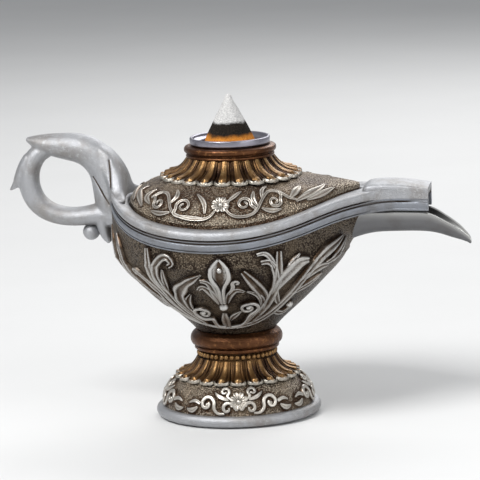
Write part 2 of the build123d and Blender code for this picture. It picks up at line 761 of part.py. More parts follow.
# Hollow under the dome, in shares of the plug's bore and of the height above the rim
hollow_shares = [(1.0, 0.24), (0.87, 0.55), (0.69, 1.0)]
plug_inset = mouth_radius - throat_radius + lid_clearance
plug_bore = mouth_radius - plug_inset - lid_plug_wall
plug_bottom = lid_bottom - lid_plug_height
with BuildPart() as lid:
    with BuildSketch(Plane.XY.offset(rim_top)):
        add(mouth_plan(lid_clearance))
    extrude(amount=lid_top - rim_top)
    add(lid_dome.part, mode=Mode.INTERSECT)
    add(band(lid_bottom, rim_top + fit_gap, mouth_plan(lid_clearance)))
    extrude(sheer_slab(lid_bottom, 2 * lid_top), amount=everything, both=True, mode=Mode.INTERSECT)
    add(band(plug_bottom, lid_bottom + fit_gap, mouth_plan(plug_inset)))
    add(band(plug_bottom - cut_overrun, lid_bottom, mouth_plan(plug_inset + lid_plug_wall)), mode=Mode.SUBTRACT)
    with BuildSketch(Plane.XZ):
        with BuildLine():
            hollow_height = lid_top - lid_wall - rim_top
            hollow = [(r * plug_bore, rim_top + up * hollow_height) for r, up in hollow_shares]
            Polyline((0, plug_bottom - cut_overrun), (plug_bore, plug_bottom - cut_overrun), *hollow)
            Polyline(hollow[-1], (0, hollow[-1][1]), (0, plug_bottom - cut_overrun))
        make_face()
    revolve(axis=Axis.Z, mode=Mode.SUBTRACT)
    with BuildSketch(Plane.XY.offset(lid_top)):
        Circle(crown_neck_radius)
    extrude(amount=crown_height)
    with BuildSketch(Plane.XY.offset(rim_top)):
        Circle(port_radius)
    extrude(amount=everything, mode=Mode.SUBTRACT)
finish(lid.part, "lid")

# Scrolls on the lid: a flower in the middle, S-shaped scrolls beside it and leaves towards the ends.
# Shares: turn in degrees, level in lid heights, half width in scroll widths.
lid_scroll_shares = [
    [(-5, 0.62, 0.5), (1, 0.65, 1.5), (7, 0.62, 0.5)],
    [(-6, 0.26, 0.4), (-22, 0.28, 0.7), (-30, 0.48, 0.8), (-25, 0.68, 0.7), (-19, 0.56, 0.4)],
    [(-32, 0.34, 0.4), (-40, 0.50, 1.0), (-39, 0.70, 1.0), (-30, 0.82, 0.3)],
    [(-12, 0.42, 0.4), (-9, 0.62, 0.9), (-17, 0.86, 0.3)],
    [(5, 0.30, 0.4), (6, 0.58, 0.8), (10, 0.83, 0.8), (16, 0.72, 0.4)],
    [(24, 0.86, 0.4), (23, 0.58, 0.8), (18, 0.36, 0.8), (12, 0.48, 0.4)],
    [(27, 0.36, 0.4), (27, 0.64, 0.8), (31, 0.85, 0.8), (36, 0.74, 0.4)],
    [(43, 0.86, 0.4), (43, 0.66, 0.8), (39, 0.51, 0.8), (33, 0.58, 0.4)],
    [(46, 0.50, 0.3), (52, 0.66, 1.2), (60, 0.84, 0.3)],
    [(-46, 0.42, 0.3), (-54, 0.62, 1.2), (-52, 0.84, 0.3)],
]
lid_scrolls = relief(lid.part, rim_top, lid_height, scroll_width, scroll_height, lid_scroll_shares)
finish(lid_scrolls, "lid_scrolls")

lid_petals = crown(
    crown_neck_radius + fit_gap, crown_top_radius, crown_tip_radius, lid_top, crown_height, crown_count
)
finish(lid_petals, "lid_petals")


# Ring round the pan: a small bead below, a waist, and a face with a bevelled top edge
with BuildPart() as lid_collar:
    with BuildSketch(Plane.XZ):
        with BuildLine():
            bead_foot = lid_collar_radius - 2 * lid_collar_bead
            bead_low = (bead_foot, crown_top)
            bead_high = (bead_foot, crown_top + 2 * lid_collar_bead)
            Line((lid_collar_bore, crown_top), bead_low)
            Polyline(bead_low, (bead_foot + lid_collar_bead, crown_top + lid_collar_bead), bead_high)
            Polyline(
                bead_high, (lid_collar_radius, bead_high[1] + lid_collar_bead),
                (lid_collar_radius, lid_collar_top - lid_collar_bead), (bead_foot, lid_collar_top),
                (lid_collar_bore, lid_collar_top), (lid_collar_bore, crown_top),
            )
        make_face()
    revolve(axis=Axis.Z)
finish(lid_collar.part, "lid_collar")


# Pan: a thin cup with a flange that rests on the ring, a raised rim and a hole in its floor
with BuildPart() as cone_dish:
    with BuildSketch(Plane.XZ):
        with BuildLine():
            Polyline(
                (dish_hole_radius, dish_bottom), (dish_cup_radius, dish_bottom), (dish_cup_radius, dish_seat),
                (dish_radius - dish_wall / 2, dish_seat), (dish_radius, dish_seat + dish_wall / 2),
                (dish_radius, dish_top), (dish_radius - dish_wall, dish_top),
                (dish_cup_radius - dish_wall, dish_seat + dish_wall), (dish_cup_radius - dish_wall, dish_floor),
                (dish_hole_radius, dish_floor), (dish_hole_radius, dish_bottom),
            )
        make_face()
    revolve(axis=Axis.Z)
finish(cone_dish.part, "cone_dish")


# Cone, with the blind bore that opens in its base
with BuildPart() as incense_cone:
    with BuildSketch(Plane.XZ):
        with BuildLine():
            tip_low = (cone_tip_radius, cone_top - cone_tip_radius)
            Polyline(
                (0, cone_bottom + cone_bore_depth), (cone_bore_radius, cone_bottom + cone_bore_depth),
                (cone_bore_radius, cone_bottom), (cone_radius, cone_bottom), tip_low,
            )
            ThreePointArc(
                tip_low, (cone_tip_radius * sin(pi / 4), tip_low[1] + cone_tip_radius * cos(pi / 4)), (0, cone_top)
            )
            Line((0, cone_top), (0, cone_bottom + cone_bore_depth))
        make_face()
    revolve(axis=Axis.Z)
finish(incense_cone.part, "incense_cone")
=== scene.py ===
from math import cos, pi, radians, sin, tan

import bmesh
import bpy
import numpy as np
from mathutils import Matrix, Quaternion, Vector, kdtree
from mathutils.noise import fractal


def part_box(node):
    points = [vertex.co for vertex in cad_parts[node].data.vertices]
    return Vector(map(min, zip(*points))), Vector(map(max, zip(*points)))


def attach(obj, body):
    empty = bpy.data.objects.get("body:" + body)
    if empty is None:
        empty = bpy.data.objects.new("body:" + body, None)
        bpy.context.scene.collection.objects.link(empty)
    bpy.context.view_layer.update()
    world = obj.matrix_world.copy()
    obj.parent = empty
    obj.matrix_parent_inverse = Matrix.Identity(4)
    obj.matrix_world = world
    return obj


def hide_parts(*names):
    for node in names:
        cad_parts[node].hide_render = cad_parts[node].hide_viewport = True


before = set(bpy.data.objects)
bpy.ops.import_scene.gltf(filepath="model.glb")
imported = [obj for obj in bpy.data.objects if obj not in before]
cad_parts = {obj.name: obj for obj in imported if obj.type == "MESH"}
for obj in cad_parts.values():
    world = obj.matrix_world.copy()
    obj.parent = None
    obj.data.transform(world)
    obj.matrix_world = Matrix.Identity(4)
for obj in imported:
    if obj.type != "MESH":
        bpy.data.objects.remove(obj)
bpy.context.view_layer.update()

mm = 0.001


def low(node):
    """Lowest corner of a CAD node's box."""
    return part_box(node)[0]


def high(node):
    """Highest corner of a CAD node's box."""
    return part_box(node)[1]


def add_object(name, data):
    """Object with the given data, put in the scene."""
    made = bpy.data.objects.new(name, data)
    bpy.context.scene.collection.objects.link(made)
    return made


# Camera: the photograph looks a little from the spout's side and a little from above,
# and the lamp in it leans towards its handle
view_distance = 1.1
view_width = 152.6 * mm
view_azimuth = radians(8)
view_elevation = radians(9.8)
view_lean = radians(2)
sensor_width = 36.0
aim = Vector((0.8, 9.5, 53.7)) * mm

towards = Vector((
    sin(view_azimuth) * cos(view_elevation), -cos(view_azimuth) * cos(view_elevation), sin(view_elevation)
))
lens = bpy.data.cameras.new("camera")
lens.sensor_width = sensor_width
lens.lens = sensor_width * view_distance / view_width
camera = add_object("camera", lens)
camera.location = aim + towards * view_distance
camera.rotation_mode = "QUATERNION"
camera.rotation_quaternion = towards.to_track_quat("Z", "Y") @ Quaternion((0, 0, 1), -view_lean)
bpy.context.scene.camera = camera


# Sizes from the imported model
bowl_radius = high("bowl").y
bowl_bottom = low("bowl").z
band_radius = high("rim_lower").y
band_bottom = low("rim_lower").z
band_middle = low("rim_upper").z
bowl_height = band_bottom - bowl_bottom
band_proud = band_radius - bowl_radius
spout_half_width = high("spout_hood").y
spout_end = high("rim_lower").x
hood_seam = high("rim_upper").x
foot_radius = high("foot").x
foot_bottom = low("foot").z
foot_top = high("foot").z
petal_seat = low("foot_petals").z
lid_radius = high("lid").y
lid_tip = high("lid").x
lid_top = low("lid_petals").z
crown_top = high("lid_petals").z
lid_collar_top = high("lid_collar").z
cone_radius = high("incense_cone").x

# Sizes that the boxes don't give
pad_recess_radius = 22.8 * mm
pad_recess_depth = 1.5 * mm
stem_radius = 9.4 * mm
screw_hole_radius = 2.1 * mm
rim_upper_height = 2.8 * mm
rim_top = band_middle + rim_upper_height
sheer_rise = 7.6 * mm
bowl_wall = 3.0 * mm
bowl_floor = 6.5 * mm
bowl_under_band = 0.6 * mm
rim_width = 4.9 * mm
ledge_width = 2.6 * mm
mouth_tip_radius = 2.9 * mm
mouth_tip_length = 3.5 * mm
spout_wall = 2.4 * mm
root_angle = radians(47)
root_fillet = 12 * mm
line_fade = 5 * mm
port_radius = 4.0 * mm
sunk = 0.35 * mm
round_steps = 160


def smooth(places, values):
    """Smooth curve through values at rising places, as a function of the place."""
    at = np.asarray(places, float)
    value = np.asarray(values, float)
    gap = np.diff(at)
    count = len(at)
    system = np.eye(count)
    right = np.zeros(value.shape)
    for i in range(1, count - 1):
        system[i, i - 1:i + 2] = gap[i - 1], 2 * (gap[i - 1] + gap[i]), gap[i]
        right[i] = 6 * ((value[i + 1] - value[i]) / gap[i] - (value[i] - value[i - 1]) / gap[i - 1])
    bend = np.linalg.solve(system, right)

    def curve(place):
        place = np.clip(np.asarray(place, float), at[0], at[-1])
        i = np.clip(np.searchsorted(at, place) - 1, 0, count - 2)
        step = place - at[i]
        wide = gap[i]
        if value.ndim > 1:
            step, wide = step[..., None], wide[..., None]
        slope = (value[i + 1] - value[i]) / wide - wide * (2 * bend[i] + bend[i + 1]) / 6
        return value[i] + step * (slope + step * (bend[i] / 2 + step * (bend[i + 1] - bend[i]) / (6 * wide)))

    return curve


def through(points, stations):
    """Evenly spread points on a smooth curve through the given ones."""
    points = np.asarray(points, float)
    along = np.concatenate([[0], np.cumsum(np.linalg.norm(np.diff(points, axis=0), axis=1))])
    return smooth(along, points)(np.linspace(0, along[-1], stations))


def directions(middle):
    """Directions along a path, each of length one."""
    forward = np.gradient(middle, axis=0)
    return forward / np.linalg.norm(forward, axis=1, keepdims=True)


def soften(points, radius, steps=2):
    """Closed outline in a plane with its corners rounded off."""
    points = [np.asarray(p, float) for p in points]
    rounded = []
    for i, corner in enumerate(points):
        back, ahead = points[i - 1] - corner, points[(i + 1) % len(points)] - corner
        reach = min(radius, np.linalg.norm(back) * 0.48, np.linalg.norm(ahead) * 0.48)
        start = corner + back / np.linalg.norm(back) * reach
        end = corner + ahead / np.linalg.norm(ahead) * reach
        for t in np.linspace(0, 1, steps + 1):
            rounded.append((1 - t) ** 2 * start + 2 * t * (1 - t) * corner + t ** 2 * end)
    return np.array(rounded)


# The line that the rim bands follow in the side view: places along X in bowl radii, and shares of the rise
sheer_shares = [
    (-1.03, 1.6), (-0.95, 1.05), (-0.86, 0.69), (-0.66, 0.3), (-0.4, 0.09), (0.0, 0.0),
    (0.4, 0.17), (0.75, 0.57), (0.95, 0.83), (1.12, 0.95), (1.33, 1.0), (1.75, 0.95),
]
sheer_curve = smooth([x for x, rise in sheer_shares], [rise for x, rise in sheer_shares])


def sheer(x):
    """Rise of the bands at places along X."""
    return sheer_rise * sheer_curve(np.asarray(x) / bowl_radius)


def on_sheer(plan, level):
    """Points of a plan, lifted to a level that follows the sheer line."""
    return np.column_stack([plan[:, 0], plan[:, 1], level + sheer(plan[:, 0])])


def drop_radius(angle, radius, nose, reach):
    """Distance from the axis to a drop-shaped outline, in a direction counted from the spout."""
    angle = np.abs((np.asarray(angle) + pi) % (2 * pi) - pi)
    centre = reach - nose
    turn = np.arccos(np.clip((radius - nose) / centre, -1, 1))
    side = radius / np.maximum(np.cos(turn - angle), 0.2)
    round_off = centre * np.cos(angle) + np.sqrt(np.maximum(nose ** 2 - (centre * np.sin(angle)) ** 2, 0))
    nose_turn = np.arctan2(nose * np.sin(turn), centre + nose * np.cos(turn))
    return np.where(angle > turn, radius, np.where(angle > nose_turn, side, round_off))


def spout_side(radius, half_width, reach, around=72, blend=12, along=18):
    """One side of the plan of the bowl run out to the spout, from the handle forward.
    A second list gives the outward directions."""
    turns = np.linspace(pi, root_angle, around)
    points = [(radius * cos(t), radius * sin(t)) for t in turns]
    outward = [(cos(t), sin(t)) for t in turns]
    touch = points[-1]
    root = np.array((touch[0] + (touch[1] - half_width) * tan(root_angle), half_width))
    cut = root_fillet * tan((pi / 2 - root_angle) / 2)
    start = root - cut * np.array((sin(root_angle), -cos(root_angle)))
    centre = start + root_fillet * np.array((cos(root_angle), sin(root_angle)))
    for t in np.linspace(0, 1, 8)[1:-1]:
        points.append(tuple(np.array(touch) * (1 - t) + start * t))
        outward.append((cos(root_angle), sin(root_angle)))
    for t in np.linspace(root_angle, pi / 2, blend):
        points.append(tuple(centre - root_fillet * np.array((cos(t), sin(t)))))
        outward.append((cos(t), sin(t)))
    for x in np.linspace(root[0] + cut, reach, along)[1:]:
        points.append((x, half_width))
        outward.append((0, 1))
    return np.array(points), np.array(outward)


def both_sides(points):
    """The outline from the spout's end round the handle and back, from the points of its one side."""
    flipped = points * np.array((1, -1))
    return np.concatenate([points[::-1], flipped[1:]])


class Shell:
    """A piece in the making: its points and faces, and at each point how high it stands on the relief, raised or
    lowered in places for painted sheen and painted shade, and how much silver is rubbed on or painted on as a
    highlight."""

    def __init__(self):
        self.points = []
        self.faces = []
        self.crest = []
        self.rub_and_highlight = []

    def grid(self, rows, crest=1.0, rub_and_highlight=0.0, ring=True, loop=False, capped=False):
        """Join rows of points to one another, each closed to a ring or left as a strip."""
        rows = np.asarray(rows, float)
        count, wide = rows.shape[:2]
        first = len(self.points)
        self.points.extend(rows.reshape(-1, 3).tolist())
        self.crest.extend(np.broadcast_to(crest, (count, wide)).reshape(-1).tolist())
        self.rub_and_highlight.extend(np.broadcast_to(rub_and_highlight, (count, wide)).reshape(-1).tolist())
        for i in range(count if loop else count - 1):
            here, there = first + i * wide, first + (i + 1) % count * wide
            for j in range(wide if ring else wide - 1):
                k = (j + 1) % wide
                self.faces.append((here + j, here + k, there + k, there + j))
        if capped:
            self.faces.append(tuple(range(first + wide - 1, first - 1, -1)))
            self.faces.append(tuple(first + (count - 1) * wide + j for j in range(wide)))
        return self

    def mirror(self):
        """The same shapes again on the other side of the lamp."""
        first = len(self.points)
        self.points += [(x, -y, z) for x, y, z in self.points]
        self.crest += self.crest
        self.rub_and_highlight += self.rub_and_highlight
        self.faces += [tuple(first + i for i in reversed(face)) for face in self.faces]

    def mesh(self, name, material, sharp=35):
        """The piece as a mesh, shaded smooth but for edges that turn by more than so many degrees."""
        mesh = bpy.data.meshes.new(name)
        mesh.from_pydata(self.points, [], self.faces)
        for label, values in (("crest", self.crest), ("rub_and_highlight", self.rub_and_highlight)):
            mesh.attributes.new(label, "FLOAT", "POINT").data.foreach_set("value", values)
        shape = bmesh.new()
        shape.from_mesh(mesh)
        bmesh.ops.remove_doubles(shape, verts=shape.verts, dist=1e-6)
        bmesh.ops.recalc_face_normals(shape, faces=shape.faces)
        shape.to_mesh(mesh)
        shape.free()
        mesh.shade_smooth()
        mesh.set_sharp_from_angle(angle=radians(sharp))
        mesh.materials.append(material)
        return mesh


def stand(mesh, body, slot, *nodes):
    """Put a mesh in the scene as a piece that rides on a body and stands for the CAD nodes."""
    piece = add_object(mesh.name, mesh)
    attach(piece, body)
    if nodes:
        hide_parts(*nodes)


def with_modifiers(made, name):
    """Mesh of an object with its modifiers applied. The object and its first mesh are removed."""
    result = bpy.data.meshes.new_from_object(made.evaluated_get(bpy.context.evaluated_depsgraph_get()))
    leftover = made.data
    bpy.data.objects.remove(made)
    bpy.data.meshes.remove(leftover)
    result.name = name
    return result


def turned(profile, steps=round_steps):
    """Rows of a piece turned on the lamp's axis from an outline of radii and levels."""
    turns = np.linspace(0, 2 * pi, steps, endpoint=False)
    cosine, sine = np.cos(turns), np.sin(turns)
    return np.array([np.column_stack([r * cosine, r * sine, np.full(steps, z)]) for r, z in profile])


def shade_and_wash_round(rows, raised, reach=0.9 * mm, depth=0.75):
    """How much dark wash and painted shade are left at points of a ground, by their distance from the ornament raised
    on it.
    """
    tree = kdtree.KDTree(len(raised))
    for i, point in enumerate(raised):
        tree.insert(point, i)
    tree.balance()
    rows = np.asarray(rows, float)
    gap = np.array([tree.find(point)[2] for point in rows.reshape(-1, 3)]).reshape(rows.shape[:-1])
    return depth * np.exp(-(gap / reach) ** 2)


# Materials: painted cast resin, with dark wash left in the hollows and silver rubbed on the high places
def add_node(tree, kind, **inputs):
    """A shader node with some of its sockets set, by their names with underlines for spaces."""
    made = tree.nodes.new(kind)
    for label, value in inputs.items():
        made.inputs[label.replace("_", " ")].default_value = value
    return made


def feed(tree, socket, value):
    """Give a socket a number, a colour, or the output that it takes its value from."""
    if isinstance(value, bpy.types.NodeSocket):
        tree.links.new(value, socket)
    else:
        socket.default_value = (*value, 1) if isinstance(value, tuple) else value


def mix(tree, share, one, other):
    """Mix of two colours, each a colour or an output, by a share that is an output."""
    made = tree.nodes.new("ShaderNodeMix")
    made.data_type = "RGBA"
    for i, value in ((0, share), (6, one), (7, other)):
        feed(tree, made.inputs[i], value)
    return made.outputs[2]


def maths(tree, operation, one, other=0.0, third=0.0):
    """Sum, product or difference of values, each a number or an output."""
    made = tree.nodes.new("ShaderNodeMath")
    made.operation = operation
    for socket, value in zip(made.inputs, (one, other, third)):
        feed(tree, socket, value)
    return made.outputs[0]


def between(tree, value, start, end):
    """Where a value stands from one limit to another, held within 0 and 1."""
    made = add_node(tree, "ShaderNodeMapRange", From_Min=start, From_Max=end)
    made.interpolation_type = "SMOOTHSTEP"
    tree.links.new(value, made.inputs["Value"])
    return made.outputs["Result"]


def noise(tree, size, detail=4.0, roughness=0.55, stretch=None):
    """Noise whose spots are about the given size, in metres."""
    place = tree.nodes.new("ShaderNodeTexCoord").outputs["Object"]
    if stretch:
        mapping = add_node(tree, "ShaderNodeMapping", Scale=stretch)
        tree.links.new(place, mapping.inputs["Vector"])
        place = mapping.outputs[0]
    made = add_node(tree, "ShaderNodeTexNoise", Scale=1 / size, Detail=detail, Roughness=roughness)
    tree.links.new(place, made.inputs["Vector"])
    return made.outputs["Fac"]


def painted_value(tree, name):
    """Value that a mesh carries at its points: crest, or silver rub and painted highlight."""
    made = tree.nodes.new("ShaderNodeAttribute")
    made.attribute_name = name
    return made.outputs["Fac"]


def new_finish(name):
    """New material, with its node tree and its surface shader."""
    material = bpy.data.materials.new(name)
    material.use_nodes = True
    tree = material.node_tree
    return material, tree, tree.nodes["Principled BSDF"]


def dress(tree, surface, colour, roughness, metallic=0.0):
    """Give a surface its colour, its roughness and how metallic it is."""
    for label, value in (("Base Color", colour), ("Roughness", roughness), ("Metallic", metallic)):
        feed(tree, surface.inputs[label], value)


def raise_bump(tree, surface, height, strength, distance):
    """Bump on a surface, from the output that gives its height."""
    bump = add_node(tree, "ShaderNodeBump", Strength=strength, Distance=distance)
    tree.links.new(height, bump.inputs["Height"])
    tree.links.new(bump.outputs[0], surface.inputs["Normal"])


patch_size = 9 * mm
flake_and_glint_size = 1.6 * mm
grain_size = 0.45 * mm
# Noise values between which tarnish and worn flakes come in, and the crest heights that wear. The flakes are wear,
# and on bronze and copper painted highlights as well
tarnish_limits = (0.44, 0.7)
flake_and_glint_limits = (0.52, 0.66)
wear_and_glint_limits = (0.5, 1.0)
tarnish_tint = (0.66, 0.6, 0.53)
dot_height = 0.42


def cast_paint(
    name, raised, hollow, roughness=0.4, metallic=0.75, wash=(0.15, 0.6), stipple=0.0, stipple_size=0.85 * mm,
    tarnish=0.35, rubbed_and_highlight=(0.66, 0.65, 0.63), wear_and_sheen=None, pitting=0.05 * mm,
):
    """Paint on cast resin: raised and hollow colours, tarnish in patches, worn flakes on high places that on bronze
    and copper are also painted highlights, fine grain and hammered dots.
    Wash gives the crest heights between which the hollow colour gives way to the raised one."""
    material, tree, surface = new_finish(name)
    patches = noise(tree, patch_size, 6.0, 0.6)
    grain = noise(tree, grain_size, 3.0, 0.6)
    height = maths(tree, "MULTIPLY_ADD", patches, 0.3, painted_value(tree, "crest"))
    height = maths(tree, "MULTIPLY_ADD", grain, 0.3, height)
    height = maths(tree, "SUBTRACT", height, 0.3)
    bump_height = maths(tree, "MULTIPLY", grain, pitting / mm)
    if stipple:
        place = tree.nodes.new("ShaderNodeTexCoord").outputs["Object"]
        dots = add_node(tree, "ShaderNodeTexVoronoi", Scale=1 / stipple_size, Randomness=0.85)
        dots.feature = "SMOOTH_F1"
        dots.inputs["Smoothness"].default_value = 0.35
        tree.links.new(place, dots.inputs["Vector"])
        domes = between(tree, dots.outputs["Distance"], 0.85, 0.15)
        height = maths(tree, "MULTIPLY_ADD", maths(tree, "SUBTRACT", domes, 1.0), stipple, height)
        bump_height = maths(tree, "MULTIPLY_ADD", domes, dot_height, bump_height)
    colour = mix(tree, between(tree, height, *wash), hollow, raised)
    dull = tuple(value * tint for value, tint in zip(raised, tarnish_tint))
    share = maths(tree, "MULTIPLY", between(tree, patches, *tarnish_limits), tarnish)
    colour = mix(tree, share, colour, dull)
    # Worn flakes on high places: wear, and on bronze and copper painted highlights
    if wear_and_sheen:
        flakes_and_glints = noise(tree, flake_and_glint_size, 8.0, 0.75)
        flaked_and_glinting = between(tree, flakes_and_glints, *flake_and_glint_limits)
        share = maths(tree, "MULTIPLY", flaked_and_glinting, between(tree, height, *wear_and_glint_limits))
        colour = mix(tree, share, colour, wear_and_sheen)
    colour = mix(tree, painted_value(tree, "rub_and_highlight"), colour, rubbed_and_highlight)
    dress(tree, surface, colour, maths(tree, "MULTIPLY_ADD", patches, 0.25, roughness - 0.12), metallic)
    raise_bump(tree, surface, bump_height, 0.8, mm)
    return material


silver = cast_paint(
    "silver paint", (0.41, 0.415, 0.43), (0.05, 0.032, 0.02), roughness=0.54, metallic=0.85, tarnish=0.65,
    pitting=0.24 * mm, wear_and_sheen=(0.48, 0.485, 0.495),
)
blue_silver = cast_paint(
    "darker silver on the lower band", (0.27, 0.285, 0.315), (0.05, 0.032, 0.02), roughness=0.47, metallic=0.85,
    tarnish=0.7, pitting=0.18 * mm,
)
dark_silver = cast_paint(
    "dark silver paint", (0.17, 0.17, 0.175), (0.03, 0.026, 0.022), roughness=0.46, metallic=0.8, tarnish=0.45,
    rubbed_and_highlight=(0.6, 0.6, 0.58),
)
leaf_silver = cast_paint(
    "silver on leaves", (0.56, 0.55, 0.53), (0.05, 0.028, 0.014), roughness=0.36, metallic=0.85, wash=(0.5, 0.88),
    pitting=0.08 * mm,
)
scroll_silver = cast_paint(
    "silver on scrolls", (0.56, 0.53, 0.48), (0.09, 0.05, 0.026), roughness=0.36, metallic=0.85, wash=(0.35, 0.85),
    pitting=0.08 * mm,
)
dark_ground = cast_paint(
    "dark stippled ground", (0.165, 0.132, 0.095), (0.018, 0.01, 0.006), roughness=0.36, metallic=0.8,
    wash=(0.1, 0.95), stipple=0.7, stipple_size=0.58 * mm, tarnish=0.6,
)
brown_ground = cast_paint(
    "brown stippled ground", (0.37, 0.315, 0.245), (0.05, 0.026, 0.013), roughness=0.38, metallic=0.8,
    wash=(0.0, 0.9), stipple=0.6, stipple_size=0.58 * mm, tarnish=0.6,
)
bronze = cast_paint(
    "bronze paint", (0.29, 0.165, 0.066), (0.022, 0.009, 0.004), roughness=0.36, metallic=0.85, wash=(0.4, 1.0),
    rubbed_and_highlight=(0.5, 0.47, 0.41), tarnish=0.8, pitting=0.14 * mm, wear_and_sheen=(0.42, 0.28, 0.13),
)
copper = cast_paint(
    "copper paint", (0.105, 0.042, 0.017), (0.014, 0.007, 0.004), roughness=0.34, metallic=0.85, wash=(0.3, 1.1),
    tarnish=0.9, pitting=0.16 * mm, wear_and_sheen=(0.27, 0.12, 0.045),
)


# Faces that ornament is laid on. A place on each is a turn, in degrees from the front towards the spout,
# and a level
bowl_face_shares = [
    (0.331, 0.0), (0.395, 0.085), (0.585, 0.30), (0.80, 0.565), (0.925, 0.735), (0.985, 0.89), (1.0, 1.0), (1.0, 1.6),
]
bowl_face_curve = smooth([up for r, up in bowl_face_shares], [r for r, up in bowl_face_shares])
prow_shares = [(-1.6, 0.98), (-0.5, 1.01), (0.2, 1.12), (1.1, 1.265)]
prow_curve = smooth([up for up, reach in prow_shares], [reach for up, reach in prow_shares])
prow_nose = 6.0 * mm


def round_point(radius, angle, z):
    """Point at a radius and a level, at a turn from the front towards the spout."""
    return np.stack([radius * np.sin(angle), -radius * np.cos(angle), z + 0 * angle], axis=-1)


def bowl_face(turn, level):
    """Point on the bowl's outside, at a level in millimetres above the table."""
    angle, z = np.radians(turn), np.asarray(level) * mm
    radius = bowl_radius * bowl_face_curve((z - bowl_bottom) / bowl_height)
    prow_radius = bowl_radius - band_proud
    reach = prow_radius * np.maximum(prow_curve((z - band_bottom) / sheer_rise), 1.001)
    prow = drop_radius(angle - pi / 2, prow_radius, prow_nose, reach)
    radius = np.where(z > band_bottom - 0.7 * sheer_rise, np.maximum(radius, prow), radius)
    return round_point(radius, angle, z)


skirt_outline = through([(23.85, 3.8), (23.5, 6.2), (22.3, 9.0), (20.4, 11.2), (18.6, 12.4)], 40) * mm
skirt_curve = smooth(skirt_outline[:, 1], skirt_outline[:, 0])


def skirt_face(turn, level):
    """Point on the foot's skirt, at a level in millimetres above the table."""
    angle, z = np.radians(turn), np.asarray(level) * mm
    return round_point(skirt_curve(z), angle, z)


# Lid dome: height from the rim to the flat top, half width, reach back and reach to the tip, in mouth radii
dome_shares = [
    (0.0, 1.02, 1.12, 1.50), (0.2, 0.98, 1.07, 1.45), (0.4, 0.932, 1.01, 1.39),
    (0.6, 0.868, 0.95, 1.32), (0.8, 0.79, 0.865, 1.21), (0.92, 0.73, 0.77, 0.98), (1.0, 0.69, 0.69, 0.74),
]
dome_curve = smooth([row[0] for row in dome_shares], [row[1:] for row in dome_shares])
mouth_radius = bowl_radius - rim_width
lid_edge_round = 0.35 * mm
tip_power = 1.75


def lid_edge(angle):
    """Distance from the axis to the lid's edge, in a direction counted from the spout."""
    return drop_radius(angle, lid_radius, mouth_tip_radius * 0.93, lid_tip)


def dome_radius(angle, up):
    """Distance from the axis to the dome, in a direction counted from the spout, at a share of its height."""
    wide, behind, ahead = np.moveaxis(dome_curve(up), -1, 0) * mouth_radius
    across, forward = np.abs(np.sin(angle)), np.cos(angle)
    back = 1 / np.sqrt((forward / behind) ** 2 + (across / wide) ** 2)
    near, far = np.zeros_like(wide), np.full_like(wide, 2 * bowl_radius)
    for _ in range(40):
        middle = (near + far) / 2
        outside = middle * across / wide + (np.maximum(middle * forward, 0) / ahead) ** tip_power > 1
        near, far = np.where(outside, near, middle), np.where(outside, middle, far)
    return np.where(forward < 0, back, near)


def lid_face(turn, level):
    """Point on the lid, at a level in hundredths of the way from its edge up to the flat top."""
    angle = np.radians(turn) - pi / 2
    level = np.asarray(level, float) + 0 * angle
    edge = lid_edge(angle)
    start = rim_top + sheer(edge * np.cos(angle))
    z = start + level / 100 * (lid_top - start)
    dome = dome_radius(angle, np.clip((z - rim_top) / (lid_top - rim_top), 0, 1))
    radius = -lid_edge_round * np.logaddexp(-edge / lid_edge_round, -dome / lid_edge_round)
    return np.stack([radius * np.cos(angle), radius * np.sin(angle), z], axis=-1)


def face_frame(face, turn, level):
    """Point, outward direction, and what a degree and a level step are worth at places on a face."""
    step = 0.02
    point = face(turn, level)
    by_turn = (face(turn + step, level) - face(turn - step, level)) / (2 * step)
    by_level = (face(turn, level + step) - face(turn, level - step)) / (2 * step)
    outward = np.cross(by_turn, by_level)
    return point, outward / np.linalg.norm(outward, axis=-1, keepdims=True), by_turn, by_level


def place_scale(face, place):
    """Millimetres that a degree and a level step are worth at a place on a face."""
    _, _, by_turn, by_level = face_frame(face, np.array([place[0]]), np.array([place[1]]))
    return np.linalg.norm(by_turn[0]) / mm, np.linalg.norm(by_level[0]) / mm


notch_depth = 0.25


def leaf(shell, face, path, widths, height=1.0, groove=0.45, notches=0, stations=30):
    """Leaf, stem or scroll raised on a face, along a path of places, with half widths in millimetres."""
    path = np.asarray(path, float)
    corners = face(path[:, 0], path[:, 1])
    along = np.concatenate([[0], np.cumsum(np.linalg.norm(np.diff(corners, axis=0), axis=1))])
    share = np.linspace(0, 1, stations)
    middle = smooth(along / along[-1], path)(share)
    half = np.maximum(smooth(np.linspace(0, 1, len(widths)), widths)(share), 0.08) * mm
    if notches:
        half = half * (1 - notch_depth * np.abs(np.cos(pi * notches * share)) ** 3)
    point, outward, by_turn, by_level = face_frame(face, middle[:, 0], middle[:, 1])
    forward = np.gradient(point, axis=0)
    across = np.cross(outward, forward)
    across /= np.linalg.norm(across, axis=1, keepdims=True)
    turn_step = (across * by_turn).sum(1) / (by_turn * by_turn).sum(1)
    level_step = (across * by_level).sum(1) / (by_level * by_level).sum(1)
    side = np.linspace(-1, 1, 13)
    turn = middle[:, :1] + side * (half * turn_step)[:, None]
    level = middle[:, 1:] + side * (half * level_step)[:, None]
    ground, up, _, _ = face_frame(face, turn, level)
    # Across: an arch with a groove down its middle
    arch = np.sqrt(1 - side ** 2) ** 0.75
    form = arch * (1 - 1.25 * groove * np.exp(-(side / 0.42) ** 2))
    rise = height * mm * (half / half.max())[:, None] ** 0.5
    top = ground + up * (rise * form - sunk * (np.abs(side) > 0.999))[..., None]
    under = point - outward * 2 * sunk
    crest = np.column_stack([np.broadcast_to(form, rise.shape[:1] + form.shape), np.zeros(stations)])
    shell.grid(np.concatenate([top, under[:, None]], axis=1), crest=crest, capped=True)


